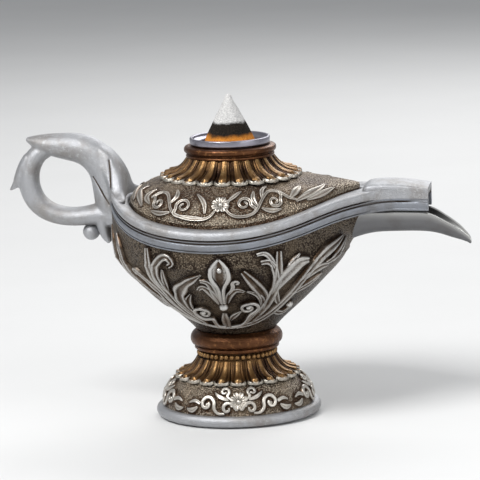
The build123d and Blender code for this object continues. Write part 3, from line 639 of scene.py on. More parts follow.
def curl(face, centre, radius, turns, start, hand=1, inner=0.25, points=14):
    """Places along a spiral that winds in round a centre. Radius in millimetres, start in degrees."""
    degree, step = place_scale(face, centre)
    places = []
    for t in np.linspace(0, 1, points):
        angle = radians(start) + hand * t * turns * 2 * pi
        reach = radius * (1 - (1 - inner) * t)
        places.append((centre[0] + reach * cos(angle) / degree, centre[1] + reach * sin(angle) / step))
    return places


def stud(shell, face, place, radius, tall=1.0, steps=14):
    """Round bead on a face, its radius in millimetres."""
    point, outward, by_turn, _ = face_frame(face, np.array([place[0]]), np.array([place[1]]))
    point, outward, right = point[0], outward[0], by_turn[0] / np.linalg.norm(by_turn[0])
    upward = np.cross(outward, right)
    turns = np.linspace(0, 2 * pi, steps, endpoint=False)
    rows, crest = [], []
    for rise in np.radians([-35, 0, 22, 45, 68, 90]):
        ring = (np.outer(np.cos(turns), right) + np.outer(np.sin(turns), upward)) * cos(rise)
        rows.append(point + (ring + outward * sin(rise) * tall) * radius * mm)
        crest.append(np.full(steps, max(0.0, sin(rise)) ** 0.5))
    shell.grid(rows[::-1], crest=crest[::-1])


def flower(shell, face, centre, radius, petals, bead):
    """Flower of small petals round a bead, with both radii in millimetres."""
    degree, step = place_scale(face, centre)
    width = 0.78 * pi * radius / petals
    for i in range(petals):
        angle = 2 * pi * (i + 0.5) / petals
        path = [
            (centre[0] + reach * radius * cos(angle) / degree, centre[1] + reach * radius * sin(angle) / step)
            for reach in (0.3, 0.62, 0.94)
        ]
        widths = [share * width for share in (0.35, 0.8, 1.1, 0.8)]
        leaf(shell, face, path, widths, 0.9, 0.35, stations=12)
    stud(shell, face, centre, bead)


# Geometry Nodes tree that repeats one made shape round the lamp's axis
def ring_tree():
    tree = bpy.data.node_groups.new("ring round the axis", "GeometryNodeTree")
    sockets = (
        ("Shape", "NodeSocketGeometry"), ("Count", "NodeSocketInt"), ("First Turn", "NodeSocketFloat"),
        ("Uneven", "NodeSocketFloat"), ("Seed", "NodeSocketInt"), ("Finish", "NodeSocketMaterial"),
    )
    for label, kind in sockets:
        tree.interface.new_socket(name=label, in_out="INPUT", socket_type=kind)
    tree.interface.new_socket(name="Ring", in_out="OUTPUT", socket_type="NodeSocketGeometry")
    new, link = tree.nodes.new, tree.links.new
    given = new("NodeGroupInput").outputs
    line = new("GeometryNodeMeshLine")
    line.inputs["Offset"].default_value = (0, 0, 0)
    link(given["Count"], line.inputs["Count"])
    step = maths(tree, "DIVIDE", 2 * pi, given["Count"])
    index = new("GeometryNodeInputIndex").outputs[0]
    turn = maths(tree, "MULTIPLY_ADD", index, step, given["First Turn"])
    shake = new("FunctionNodeRandomValue")
    shake.data_type = "FLOAT"
    shake.inputs["Min"].default_value = -1
    shake.inputs["Max"].default_value = 1
    link(given["Seed"], shake.inputs["Seed"])
    uneven = maths(tree, "MULTIPLY_ADD", shake.outputs["Value"], given["Uneven"], turn)
    about_z = new("ShaderNodeCombineXYZ")
    link(uneven, about_z.inputs["Z"])
    rotation = new("FunctionNodeEulerToRotation")
    link(about_z.outputs[0], rotation.inputs[0])
    copies = new("GeometryNodeInstanceOnPoints")
    link(line.outputs["Mesh"], copies.inputs["Points"])
    link(given["Shape"], copies.inputs["Instance"])
    link(rotation.outputs[0], copies.inputs["Rotation"])
    real = new("GeometryNodeRealizeInstances")
    link(copies.outputs[0], real.inputs[0])
    finish = new("GeometryNodeSetMaterial")
    link(real.outputs[0], finish.inputs["Geometry"])
    link(given["Finish"], finish.inputs["Material"])
    result = new("NodeGroupOutput")
    link(finish.outputs[0], result.inputs[0])
    return tree


axis_ring = ring_tree()


def ringed(shell, name, material, count, first=0.0, uneven=0.0, seed=1):
    """Mesh of a shape repeated round the axis by the ring tree."""
    one = add_object(name, shell.mesh(name, material, 50))
    modifier = one.modifiers.new("ring", "NODES")
    modifier.node_group = axis_ring
    chosen = {"Count": count, "First Turn": first, "Uneven": uneven, "Seed": seed, "Finish": material}
    for item in axis_ring.interface.items_tree:
        if item.name in chosen and item.in_out == "INPUT":
            modifier[item.identifier] = chosen[item.name]
    return with_modifiers(one, name)


# Foot: silver bull-nosed rim, stippled skirt with scrolls, and a crown of gadroons
def foot_rim():
    """Bull-nosed rim round the skirt."""
    edge = foot_radius
    half = 1.7 * mm
    outline = [(pad_recess_radius, foot_bottom), (edge - half, foot_bottom)]
    for t in np.radians(np.linspace(-70, 75, 9)):
        outline.append((edge - half + half * cos(t), foot_bottom + half + half * sin(t)))
    outline += [(edge - 2.3 * mm, foot_bottom + 3.35 * mm), (pad_recess_radius, foot_bottom + 3.4 * mm)]
    shell = Shell().grid(turned(outline), loop=True)
    stand(shell.mesh("foot_rim", silver), "lamp", "antique_silver")


scroll_repeats = 4
scroll_turn = radians(8)


def foot_skirt(scrolls):
    """Skirt, stem and screw hole of the foot, with dark wash and painted shade round the scrolls."""
    outline = [(r, z) for r, z in skirt_outline]
    inner = [
        (stem_radius, petal_seat), (stem_radius, foot_top), (screw_hole_radius, foot_top),
        (screw_hole_radius, pad_recess_depth),
    ]
    bottom = [(pad_recess_radius, pad_recess_depth), (22.9 * mm, 3.8 * mm)]
    rows = turned(outline + inner + bottom, 300)
    raised = []
    for repeat in range(scroll_repeats):
        turn = repeat * 2 * pi / scroll_repeats + scroll_turn
        cosine, sine = cos(turn), sin(turn)
        raised += [(cosine * x - sine * y, sine * x + cosine * y, z) for x, y, z in scrolls.points]
    # Dark wash and painted shade round the scrolls
    crest = 0.8 - shade_and_wash_round(rows, raised)
    crest[len(outline):] = 0.5
    shell = Shell().grid(rows, loop=True, crest=crest)
    stand(shell.mesh("foot_skirt", brown_ground), "lamp", "antique_silver", "foot")


def foot_scrolls():
    """A flower with scrolls on both sides of it, repeated round the skirt."""
    shell = Shell()
    face = skirt_face
    flower(shell, face, (0, 8.1), 3.0, 8, 0.95)
    for side in (1, -1):
        low_curl = curl(face, (side * 25, 7.4), 2.5, 1.15, 200 if side > 0 else -20, -side)
        leaf(shell, face, [(side * 11, 4.7), (side * 16, 4.8)] + low_curl, [0.45, 0.65, 0.65, 0.5], 1.0, 0.1)
        leaf(shell, face, [(side * 33, 6.4), (side * 38, 5.2), (side * 43, 5.6)], [0.3, 0.95, 0.2], 0.9, 0.3)
        leaf(shell, face, [(side * 31, 7.4), (side * 36, 8.0), (side * 41, 7.4)], [0.6, 0.65, 0.25], 0.8, 0.2)
        high_curl = curl(face, (side * 11.5, 10.7), 1.5, 1.1, 230 if side > 0 else -50, -side)
        leaf(shell, face, [(side * 4, 8.4)] + high_curl, [0.4, 0.55, 0.55, 0.4], 0.9, 0.1)
        leaf(shell, face, [(side * 8, 8.6), (side * 14, 9.2), (side * 20, 10.6)], [0.4, 0.75, 0.2], 0.9, 0.2)
        foot_curl = curl(face, (side * 8.8, 6.2), 1.7, 0.9, 120 if side > 0 else 60, -side)
        leaf(shell, face, [(side * 2, 5.6)] + foot_curl, [0.4, 0.6, 0.6, 0.4], 0.9, 0.1)
        stud(shell, face, (side * 25, 7.2), 0.7)
    mesh = ringed(shell, "foot_scrolls", scroll_silver, scroll_repeats, first=scroll_turn)
    stand(mesh, "lamp", "antique_silver")
    return shell


# Gadroons: place from neck to tip, height above the seat, half width and bulge, as shares
gadroon_shares = [
    (0.0, 1.0, 0.50, 0.20), (0.12, 0.72, 0.56, 0.24), (0.28, 0.46, 0.66, 0.30), (0.48, 0.25, 0.78, 0.40),
    (0.68, 0.13, 0.86, 0.50), (0.82, 0.06, 0.88, 0.56), (0.91, 0.035, 0.76, 0.50), (0.97, 0.02, 0.50, 0.36),
    (1.0, 0.01, 0.16, 0.14),
]
lip_silver = 0.85


def gadroon(top_radius, tip_radius, seat, height, count, ribs):
    """One spoon-shaped lobe with ribs along it and a silver lip at its tip."""
    room = pi * tip_radius / count
    stations = 26
    along = 1 - np.linspace(1, 0, stations) ** 1.25
    shape = smooth([row[0] for row in gadroon_shares], gadroon_shares)(along)
    middle = np.column_stack([
        top_radius + shape[:, 0] * (tip_radius - top_radius), np.zeros(stations), seat + shape[:, 1] * height
    ])
    up = np.cross(directions(middle), (0, 1, 0))
    up *= np.where(up[:, 2:] < 0, -1, 1)
    side = np.linspace(-1, 1, 25)
    # Across: an arch with a groove inside each edge and fine ribs between them
    arch = np.sqrt(1 - side ** 2) ** 0.7
    inner = np.exp(-((np.abs(side) - 0.6) / 0.13) ** 2)
    fine = 0.5 - 0.5 * np.cos(2 * pi * ribs * side)
    form = arch * (1 - 0.42 * inner - 0.12 * fine)
    # At the tip: a shallow bowl with a raised lip round it
    to_tip = np.clip((shape[:, 0] - 0.66) / 0.34, 0, 1)
    rim = np.hypot(to_tip[:, None], side[None])
    lip = np.clip((rim - 0.88) / 0.1, 0, 1) * (to_tip[:, None] > 0.15) * lip_silver
    bowl = 1 - 0.45 * np.exp(-((rim - 0.62) / 0.18) ** 2) * np.clip(to_tip * 2, 0, 1)[:, None]
    rise = shape[:, 3:4] * room * form * bowl
    half = shape[:, 2:3] * room
    rows = middle[:, None] + up[:, None] * rise[..., None] + np.array((0, 1, 0)) * (half * side)[..., None]
    under = middle - up * sunk
    tone = np.broadcast_to(1.05 * arch - 0.75 * inner - 0.2 * fine, rise.shape) - 0.3 * (1 - bowl)
    crest = np.column_stack([tone, np.zeros(stations)])
    rub_and_highlight = np.column_stack([lip, np.zeros(stations)])
    return Shell().grid(np.concatenate([rows, under[:, None]], axis=1), crest=crest, rub_and_highlight=rub_and_highlight, capped=True)


def crown(name, neck_radius, top_radius, seat, top, count, ribs, body, node):
    """Dark sleeve with a ring of gadroons on it, as wide as the CAD node that it stands for."""
    height = top - seat
    tip_radius = high(node).x - 0.05 * mm
    waist = top_radius + 0.2 * (tip_radius - top_radius)
    flare = through([
        (tip_radius * 0.84, seat), (tip_radius * 0.79, seat + height * 0.12), (waist, seat + height * 0.5),
        (top_radius, top),
    ], 18)
    outline = [(neck_radius, seat)] + [tuple(p) for p in flare] + [(neck_radius, top)]
    sleeve = Shell().grid(turned(outline, 96), crest=0.05, loop=True)
    stand(sleeve.mesh(name + "_sleeve", bronze), body, "bronze", node)
    lobe = gadroon(top_radius, tip_radius, seat, height, count, ribs)
    lobes = ringed(lobe, name + "_gadroons", bronze, count, uneven=radians(0.5), seed=3)
    stand(lobes, body, "bronze")


# Bead ring and collar between the foot and the bowl
def bead_ring():
    """Beads, a little uneven, round a dark core."""
    bottom, top = low("bead_ring").z, high("bead_ring").z
    middle = (bottom + top) / 2
    reach, count, steps = high("bead_ring").x, 44, 10
    radius = 0.85 * mm
    core_radius = 11.8 * mm
    core = [
        (screw_hole_radius, bottom), (core_radius, bottom), (11.5 * mm, middle), (core_radius, top),
        (screw_hole_radius, top),
    ]
    core_shell = Shell().grid(turned(core, 96), crest=0.1, loop=True)
    stand(core_shell.mesh("bead_ring_core", bronze), "lamp", "antique_silver")
    turns = np.linspace(0, 2 * pi, steps, endpoint=False)
    rows = []
    for rise in np.radians([-90, -55, -20, 20, 55, 90]):
        ring = np.column_stack([
            reach - radius + radius * cos(rise) * np.cos(turns), radius * cos(rise) * np.sin(turns),
            np.full(steps, middle + 1.15 * radius * sin(rise)),
        ])
        rows.append(ring)
    # Painted shade: the beads are painted darker underneath than on top
    crest = np.array([0.2, 0.5, 0.9, 1, 1, 0.9])[:, None] * np.ones((1, steps))
    bead = Shell().grid(rows, crest=crest)
    beads = ringed(bead, "bead_ring_beads", bronze, count, uneven=radians(0.7), seed=5)
    stand(beads, "lamp", "antique_silver", "bead_ring")


def collar_ring():
    """Collar with a full bulge over a small step."""
    bottom, top = low("collar_ring").z, high("collar_ring").z
    tall = top / mm - bottom / mm
    hole = screw_hole_radius / mm
    profile = [
        (hole, 0), (12.9, 0), (13.4, 0.35), (13.35, 1.15), (12.95, 1.45), (13.3, 1.5), (14.15, 1.9), (14.5, 2.7),
        (14.6, 3.5), (14.45, 4.4), (13.9, 5.3), (13.2, 5.9), (12.7, 6.35), (12.6, tall), (hole, tall),
    ]
    outline = soften([(r * mm, bottom + z * mm) for r, z in profile], 0.25 * mm)
    shell = Shell().grid(turned(outline), loop=True)
    stand(shell.mesh("collar_ring_turned", copper), "lamp", "copper", "collar_ring")


# Bowl: stippled ground outside, plain inside, with silver leaves. Its inside is given in shares of
# the inner radius and of the depth
bowl_inner_shares = [(0.02, 0.0), (0.30, 0.0), (0.61, 0.19), (0.815, 0.53), (0.93, 0.72), (0.985, 0.885), (1.0, 1.0)]


def bowl_ground(leaves):
    """Wall and floor of the bowl, with dark wash and painted shade round the leaves, and painted shade that darkens
    the outside towards the bottom.
    """
    steps, levels = 400, 84
    turns = np.linspace(-180, 180, steps, endpoint=False)
    rows = []
    edge = bowl_face(turns, np.full(steps, band_bottom / mm))
    for up in np.linspace(0, 1, levels):
        top = band_bottom + sheer(edge[:, 0]) + bowl_under_band
        level = (bowl_bottom + up * (top - bowl_bottom)) / mm
        point = bowl_face(turns, level)
        edge = point if up > 0.9 else edge
        rows.append(point)
    inner_radius = bowl_radius - bowl_wall
    floor_level = bowl_bottom + bowl_floor
    flat = np.column_stack([np.sin(np.radians(turns)), -np.cos(np.radians(turns))])
    rows.append(np.column_stack([flat * inner_radius, rows[-1][:, 2]]))
    for r, up in bowl_inner_shares[::-1]:
        level = np.full(steps, floor_level + up * (bowl_height - bowl_floor))
        rows.append(np.column_stack([flat * r * inner_radius, level]))
    # Painted shade: the outside is painted darker towards the bottom, and lighter up to the bands
    outside = 0.6 + 0.3 * np.linspace(0, 1, levels)
    crest = np.array(list(outside) + [0.25] * (len(rows) - levels))[:, None] * np.ones((1, steps))
    # Dark wash and painted shade round the leaves
    crest[:levels] -= shade_and_wash_round(rows[:levels], leaves.points)
    shell = Shell().grid(rows, crest=crest)
    for rim in (rows[-1], rows[0]):
        shell.grid([rim, rim * (0, 0, 1)], crest=0.2)
    stand(shell.mesh("bowl_ground", dark_ground, 60), "lamp", "dark_ground", "bowl")


def bowl_leaves():
    """Leaves, palmette and volutes of one side, and the same again on the other."""
    shell = Shell()
    fullness, boldness = 1.32, 1.2

    def add(path, widths, height=1.2, groove=0.45, notches=0, **more):
        full = [wide * fullness for wide in widths]
        leaf(shell, bowl_face, path, full, height * boldness, groove, notches, **more)

    # Palmette in the middle of the front: a spade with a raised border, its slit, and a bead under it
    add([(0, 41), (0.3, 46), (0.8, 50.6), (1, 56.2)], [0.7, 0.9, 1.2, 2.9, 2.6, 0.1], 1.0, 0.52)
    for side in (-1, 1):
        border = [
            (0.9 + 0.2 * side, 56.0), (0.8 + 3.4 * side, 53.6), (0.8 + 4.4 * side, 50.6), (0.6 + 2.2 * side, 47.6),
            (0.2 + 1.0 * side, 43.5), (0.1 + 0.9 * side, 41.0),
        ]
        add(border, [0.35, 0.6, 0.65, 0.55, 0.5, 0.4], 1.5, 0.05)
    stud(shell, bowl_face, (0.9, 52.4), 1.0, 1.2)
    stud(shell, bowl_face, (-0.2, 39.4), 1.6, 1.3)
    add([(-1, 36.5), (-1.5, 33.5), (-1, 31)], [0.5, 1.2, 0.9], 0.9, 0.3)
    add([(-2.2, 40.5), (-4.2, 45), (-7.2, 48.6), (-10, 48.8)], [0.6, 1.1, 1.0, 0.6], 1.0, 0.4)
    add([(-2.5, 40.2), (-6, 44.6), (-10, 46.6), (-13.2, 45.4)], [0.6, 1.1, 1.1, 0.5], 1.0, 0.5)
    add([(2.5, 40.5), (4.6, 43.5), (8.6, 45.4), (13.4, 44.6)], [0.5, 1.0, 1.0, 0.4], 1.0, 0.5)
    add([(4, 44)] + curl(bowl_face, (8.8, 48.0), 1.3, 0.9, 210, -1), [0.4, 0.6, 0.5, 0.3], 0.9, 0.2)
    # Volutes that roll up from the foot of the palmette
    roll = [0.45, 0.55, 0.55, 0.5, 0.42, 0.32]
    add([(-2.5, 31.6), (-10, 31.9)] + curl(bowl_face, (-17.8, 36.9), 3.5, 1.45, -60, -1, 0.2), roll, 1.4, 0.15,
        stations=70)
    stud(shell, bowl_face, (-17.8, 36.9), 0.95, 1.5)
    add([(3.5, 31.6), (14, 32.4)] + curl(bowl_face, (17.4, 38.7), 3.3, 1.45, -60, 1, 0.2), roll, 1.4, 0.15,
        stations=70)
    stud(shell, bowl_face, (17.4, 38.7), 0.95, 1.5)
    add([(3, 33.6), (6.5, 35.4), (12.5, 37.0)], [0.3, 0.9, 0.2], 0.9, 0.4)
    # Broad leaf and blade beside the palmette
    add([(-24, 33.2), (-30, 37), (-29.8, 41.8), (-24.6, 45.4), (-16, 48.6), (-8.6, 50.8)],
        [0.7, 1.2, 1.9, 2.1, 1.5, 0.15], 1.2, 0.5, 4)
    add([(-27, 36), (-25.5, 40.5), (-20, 43.5)], [0.5, 1.2, 0.3], 1.0, 0.5)
    add([(28.5, 38), (26, 42.5), (20.3, 46.3), (15.6, 49.4), (12.0, 51.8)], [0.6, 1.3, 1.6, 1.5, 0.7], 1.2, 0.55)
    add([(29, 35.5), (26.5, 40.5), (20.5, 43.6), (15, 44.6)], [0.5, 0.9, 0.9, 0.3], 0.9, 0.4)
    # Three-lobed leaf to the right of the blade
    add([(21, 32.4), (29.5, 38.3), (31.3, 43), (31, 48), (29.6, 53.5), (29.4, 57.6)],
        [0.8, 1.3, 1.4, 1.3, 1.2, 0.8], 1.3, 0.5)
    add([(31, 43.5), (30, 48.2), (27.8, 52), (24.3, 54.6), (20.8, 54.4)], [0.5, 1.0, 1.0, 0.9, 0.6], 1.2, 0.4)
    add([(28.6, 51.5), (26, 55.0), (22.2, 57.2), (18.8, 56.9)], [0.4, 0.7, 0.7, 0.4], 0.9, 0.3)
    add([(32, 43), (33.4, 48), (37.4, 51.5), (42, 53.4), (46, 53.6)], [0.6, 1.5, 2.1, 1.9, 0.9], 1.4, 0.3)
    add([(33, 47.5), (35.5, 52.4), (40.5, 56)], [0.4, 0.9, 0.3], 1.0, 0.3)
    # Long band leaf towards the spout, with its side leaves and bead
    add([(8, 31), (27, 32.6), (41, 37.3), (46.6, 43.5), (49, 50), (56, 54.6), (64, 56.8), (71.5, 58.6)],
        [0.7, 1.0, 1.2, 1.2, 1.3, 1.5, 1.5, 0.5], 1.3, 0.4, stations=60)
    add([(47, 45), (50.5, 48.6), (57.5, 50.6), (64, 50.2)], [0.4, 1.2, 1.3, 0.3], 1.1, 0.45)
    add([(45, 41), (51, 43.4), (57, 45.2), (62.5, 47.6)], [0.4, 1.1, 1.2, 0.3], 1.1, 0.45)
    add([(42, 38.4), (36.5, 41.0), (33.6, 44.5)], [0.4, 0.9, 0.3], 0.9, 0.4)
    stud(shell, bowl_face, (53.1, 37.8), 1.45, 1.1)
    add([(40, 36.4), (46, 35.4), (53, 35.2), (58, 37)], [0.5, 1.0, 0.9, 0.3], 1.0, 0.4)
    add([(60, 51), (68, 53.2), (76, 57.5)], [0.4, 1.3, 0.4], 1.0, 0.4)
    # Twin leaf and long leaves towards the handle
    add([(-24, 31.6), (-35.6, 37), (-37.2, 43), (-36, 48.5), (-33.3, 52.6), (-29.2, 55.4), (-25, 56.2),
         (-22.8, 54.4), (-24.8, 53.4)], [0.7, 1.1, 1.3, 1.4, 1.3, 1.1, 0.8], 1.3, 0.45, stations=48)
    add([(-37, 42), (-38.8, 48), (-37.0, 54), (-36.6, 58.6)], [0.5, 1.1, 1.2, 0.6], 1.2, 0.4)
    add([(-35.5, 44), (-31.5, 48.5), (-29.5, 52)], [0.4, 0.9, 0.3], 0.9, 0.4)
    add([(-33, 33.4), (-43.3, 38.4), (-44.5, 43.5), (-47.6, 48), (-52.5, 50.4), (-55.4, 48.6)],
        [0.7, 1.4, 1.7, 1.6, 1.2, 0.5], 1.3, 0.45, 4)
    add([(-47, 37), (-56, 42.4), (-60.5, 49), (-61.2, 54.5), (-64.2, 61)], [0.8, 1.6, 2.1, 1.7, 0.2], 1.4, 0.45, 4)
    add([(-58, 41), (-68, 45.4), (-73.6, 51), (-75.5, 57), (-80, 62)], [0.5, 1.4, 1.8, 1.4, 0.2], 1.2, 0.45, 4)
    add([(-50, 37.4), (-62, 38), (-72, 41.4), (-80, 47)], [0.5, 1.3, 1.3, 0.3], 1.1, 0.45)
    # Stem that the leaves spring from
    add([(-58, 39.5), (-48, 36.2), (-37, 33.2), (-20, 31.5), (-4, 30.8), (8, 30.9)],
        [0.4, 0.6, 0.6, 0.55, 0.5, 0.4], 0.9, 0.2, stations=50)
    shell.mirror()
    stand(shell.mesh("bowl_leaves_cast", leaf_silver, 60), "lamp", "silver", "bowl_leaves")
    return shell


# Rim: two silver bands that cap the bowl, run out to the spout and rise towards the handle
def band_rows(plan, outward, inner, section, level):
    """Rows round the rim for a section in millimetres: ways out and up, or an inner plan and a way up.
    A third value is the place along the spout where a line that is cut into the band runs out."""
    rows = []
    for out, up, *line in section:
        if isinstance(out, str):
            points = inner[out]
        else:
            fade = np.clip((line[0] - plan[:, 0]) / line_fade, 0, 1) if line else np.ones(len(plan))
            points = plan + outward * (out * mm * fade)[:, None]
        rows.append(on_sheer(points, level + up * mm))
    return np.stack(rows, axis=1)


def rim_lower():
    """Lower band, with two lines cut into it that fade out along the spout."""
    plan, outward = [both_sides(side) for side in spout_side(band_radius, spout_half_width, spout_end)]
    inner_plan = both_sides(spout_side(bowl_radius - bowl_wall, spout_half_width - spout_wall, spout_end)[0])
    lower_line, upper_line, seam = (46 * mm,), (60 * mm,), (47 * mm,)
    section = [
        ("inner", 0), (-0.9, 0), (-0.35, 0.0), (-0.12, 0.12), (-0.1, 0.42), (-0.45, 0.6, *lower_line), (-0.12, 0.78),
        (0.08, 1.0), (0.14, 1.8), (0.1, 2.4), (-0.02, 2.62), (-0.5, 2.8, *upper_line), (-0.5, 3.1, *upper_line),
        (-0.1, 3.28), (-0.08, 3.66, *seam), (-0.55, 3.9, *seam), ("inner", 3.9),
    ]
    rows = band_rows(plan, outward, {"inner": inner_plan}, section, band_bottom)
    line_end = np.array([line[0] if line else -1.0 for out, up, *line in section])
    crest = 1 - np.clip((line_end[None] - rows[..., 0]) / line_fade, 0, 1)
    shell = Shell().grid(rows, crest=crest, capped=True)
    stand(shell.mesh("rim_lower_band", blue_silver, 40), "lamp", "silver", "rim_lower")


def rim_upper():
    """Upper band, with the mouth and the ledge for the lid inside it."""
    plan, outward = [both_sides(side) for side in spout_side(band_radius, spout_half_width, hood_seam)]
    front = np.linspace(-spout_half_width, spout_half_width, 9)[1:-1]
    plan = np.concatenate([plan, np.column_stack([np.full(len(front), hood_seam), front])])
    outward = np.concatenate([outward, np.tile((1.0, 0.0), (len(front), 1))])
    angles = np.arctan2(plan[:, 1], plan[:, 0])
    direction = np.column_stack([np.cos(angles), np.sin(angles)])
    inner = {}
    for label, radius in (("mouth", mouth_radius), ("throat", mouth_radius - ledge_width)):
        less = mouth_radius - radius
        reach = bowl_radius + mouth_tip_length - less
        inner[label] = direction * drop_radius(angles, radius, mouth_tip_radius - less / 2, reach)[:, None]
    inner["brow"] = inner["mouth"] + direction * 0.5 * mm
    seam, side = (47 * mm,), (50 * mm,)
    section = [
        ("throat", 0), (-0.9, 0, *seam), (-0.45, 0.05, *seam), (-0.05, 0.25, *seam), (0.16, 0.8, *side),
        (0.18, 1.4, *side), (0.02, 2.05), (-0.4, 2.5, *seam), (-1.1, 2.78, *seam), ("brow", 2.8),
        ("mouth", 2.45), ("mouth", 1.6), ("throat", 1.55),
    ]
    rows = band_rows(plan, outward, inner, section, band_middle)
    low_tone = np.array([0.5, 0.2, 0.1, 0.9, 1, 1, 1, 1, 1, 1, 0.7, 0.3, 0.3])
    crest = 1 - (1 - low_tone)[None] * np.clip((seam[0] - rows[..., 0]) / line_fade, 0, 1)
    shell = Shell().grid(rows, crest=crest, loop=True)
    stand(shell.mesh("rim_upper_band", silver, 40), "lamp", "silver", "rim_upper")


# Hood over the spout, with a square-cut open end. Places along X, level of the roof and half width
hood_shares = [
    (41.9, 72.2, 5.8), (42.6, 72.9, 6.8), (43.8, 73.5, 7.3), (46.0, 73.85, 7.5), (49.5, 73.95, 7.5),
    (52.9, 73.8, 7.5), (57.0, 73.35, 7.5), (60.2, 72.8, 7.5), (62.4, 72.3, 7.5),
]
hood_opening = 52.9
# Where the hood's sides start to stand out from the rails, by how much a millimetre and at most
hood_flare_start = 46
hood_flare = 0.02
hood_flare_most = 0.12


def spout_hood():
    """Roof on the rails, solid towards the bowl and hollow towards its square-cut end."""
    shape = smooth([row[0] for row in hood_shares], hood_shares)
    rail_top = band_middle / mm
    sections = []
    solid_part = np.linspace(hood_shares[0][0], hood_opening, 22)
    open_part = np.linspace(hood_opening + 0.5, hood_shares[-1][0], 16)
    for x in np.concatenate([solid_part, [hood_opening + 0.05], open_part]):
        _, top, wide = (float(v) for v in shape(x))
        wide += min(hood_flare_most, max(0.0, (x - hood_flare_start) * hood_flare))
        rise = sheer(x * mm) / mm
        open_end = x > hood_opening + 0.02
        base = (rail_top if open_end else rim_top / mm - 0.3) + rise
        seat = rim_top / mm - 0.3 + rise
        shoulder = seat + (top - seat) * 0.25
        outer = [(wide, base), (wide, (base + shoulder) / 2)]
        for t in np.linspace(0, pi, 21):
            across, up = cos(t), sin(t)
            outer.append((
                wide * np.sign(across) * abs(across) ** 0.5, shoulder + (top - shoulder) * up ** 0.5,
            ))
        outer += [(-wide, (base + shoulder) / 2), (-wide, base)]
        inside = wide - spout_wall / mm
        ceiling = top - spout_wall / mm if open_end else base + 0.05
        corner = ceiling - 0.4 if open_end else base + 0.02
        inner = [
            (-inside, base), (-inside, corner), (-inside + 0.5, ceiling), (inside - 0.5, ceiling), (inside, corner),
            (inside, base),
        ]
        sections.append([(x * mm, y * mm, z * mm) for y, z in outer + inner])
    crest = np.ones((len(sections), len(outer) + len(inner)))
    crest[:, len(outer):] = 0.2
    shell = Shell().grid(sections, crest=crest, capped=True)
    stand(shell.mesh("spout_hood_cast", silver, 45), "lamp", "silver", "spout_hood")


# Lip: a trough that narrows to a beak. Places along X, edge level, depth below the edge and half width
lip_places = [
    (36.0, 64.5, 9.6, 7.5), (43.8, 64.6, 7.3, 7.3), (51.6, 64.6, 6.8, 7.2), (58.0, 64.5, 6.7, 7.1),
    (62.4, 64.0, 6.5, 6.8), (66.0, 62.2, 5.5, 5.9), (69.6, 59.9, 4.4, 5.0), (72.5, 57.6, 3.0, 3.8),
    (74.0, 56.1, 2.1, 2.7),
]
beak_tip = 75.1
# Place along X from which the inside of the lip is painted paler, and the distance over which that comes in
pale_start = 63
pale_length = 9


def spout_lip():
    """Trough with a blunt beak and a neck on each side that meets the rails. Its edges carry rubbed silver with a
    painted highlight, and its necks are painted dark as painted shade under the rails.
    """
    shape = smooth([row[0] for row in lip_places], lip_places)
    rows, crest, rub_and_highlight = [], [], []
    last = lip_places[-1][0]
    nose = [last + (beak_tip - last) * sin(t) for t in np.radians([20, 40, 60, 75, 88])]
    for x in np.concatenate([np.linspace(36, 61, 14), np.linspace(62, last, 26), nose]):
        _, edge, depth, half = shape(min(x, last))
        blunt = cos(np.arcsin(max(0.0, (x - last) / (beak_tip - last))))
        edge, depth, half = edge - (1 - blunt) * 0.5 * depth - max(0.0, x - last), depth * blunt, half * blunt
        wall = min(1.3, 0.5 * half)
        turns = np.linspace(0, pi, 17)
        outer = [(half * cos(t), edge - depth * sin(t)) for t in turns]
        floor = min(depth - 0.8, 4.4) if depth > 2.4 else depth * 0.55
        inner = [((half - wall) * cos(t), edge - 0.1 - floor * sin(t)) for t in turns[::-1]]
        far_brow = [(-(half - wall / 2), edge + 0.25 * wall)]
        near_brow = [(half - wall / 2, edge + 0.25 * wall)]
        section = outer + far_brow + inner + near_brow
        rows.append([(x * mm, y * mm, z * mm) for y, z in section])
        # The brows are painted brightest: rubbed silver with a painted highlight along the top edges. The inside is
        # painted paler towards the beak
        crest.append([1.0] * 17 + [1.6] + [0.35] * 17 + [1.6])
        pale = min(1.0, max(0.0, (x - pale_start) / pale_length)) * 0.8
        rub_and_highlight.append([0.55, 0.15] + [0.0] * 13 + [0.15, 0.55] + [0.85] + [pale] * 17 + [0.85])
    shell = Shell().grid(rows, crest=crest, rub_and_highlight=rub_and_highlight, capped=True)
    for side in (1, -1):
        neck = []
        for x in np.linspace(36.5, 59.8, 6):
            corners = [(5.1, 63.0), (6.2, 63.0), (6.2, 65.6), (5.1, 65.6)]
            neck.append([(x * mm, side * y * mm, z * mm) for y, z in corners])
        # The necks are painted darkest: painted shade in the gap between the lip and the rails
        shell.grid(neck, crest=0.0, capped=True)
    stand(shell.mesh("spout_lip_cast", dark_silver, 40), "lamp", "dark_silver", "spout_lip")


# Handle: stations of its limbs, in shares of the handle's reach, rise, thickness and width. The main
# limb ends in a leaf tip, the root spreads to the bands, and the loop carries a leaf and has a pad at its foot
handle_reach = 33.5 * mm
handle_rise = 36.0 * mm
handle_width = 10.6 * mm
handle_thickness = 9.6 * mm
handle_root_level = 54.5 * mm
handle_bend_top = 84 * mm
handle_bend_height = 12 * mm
handle_fusing_step = 0.3 * mm
handle_smoothing = 12
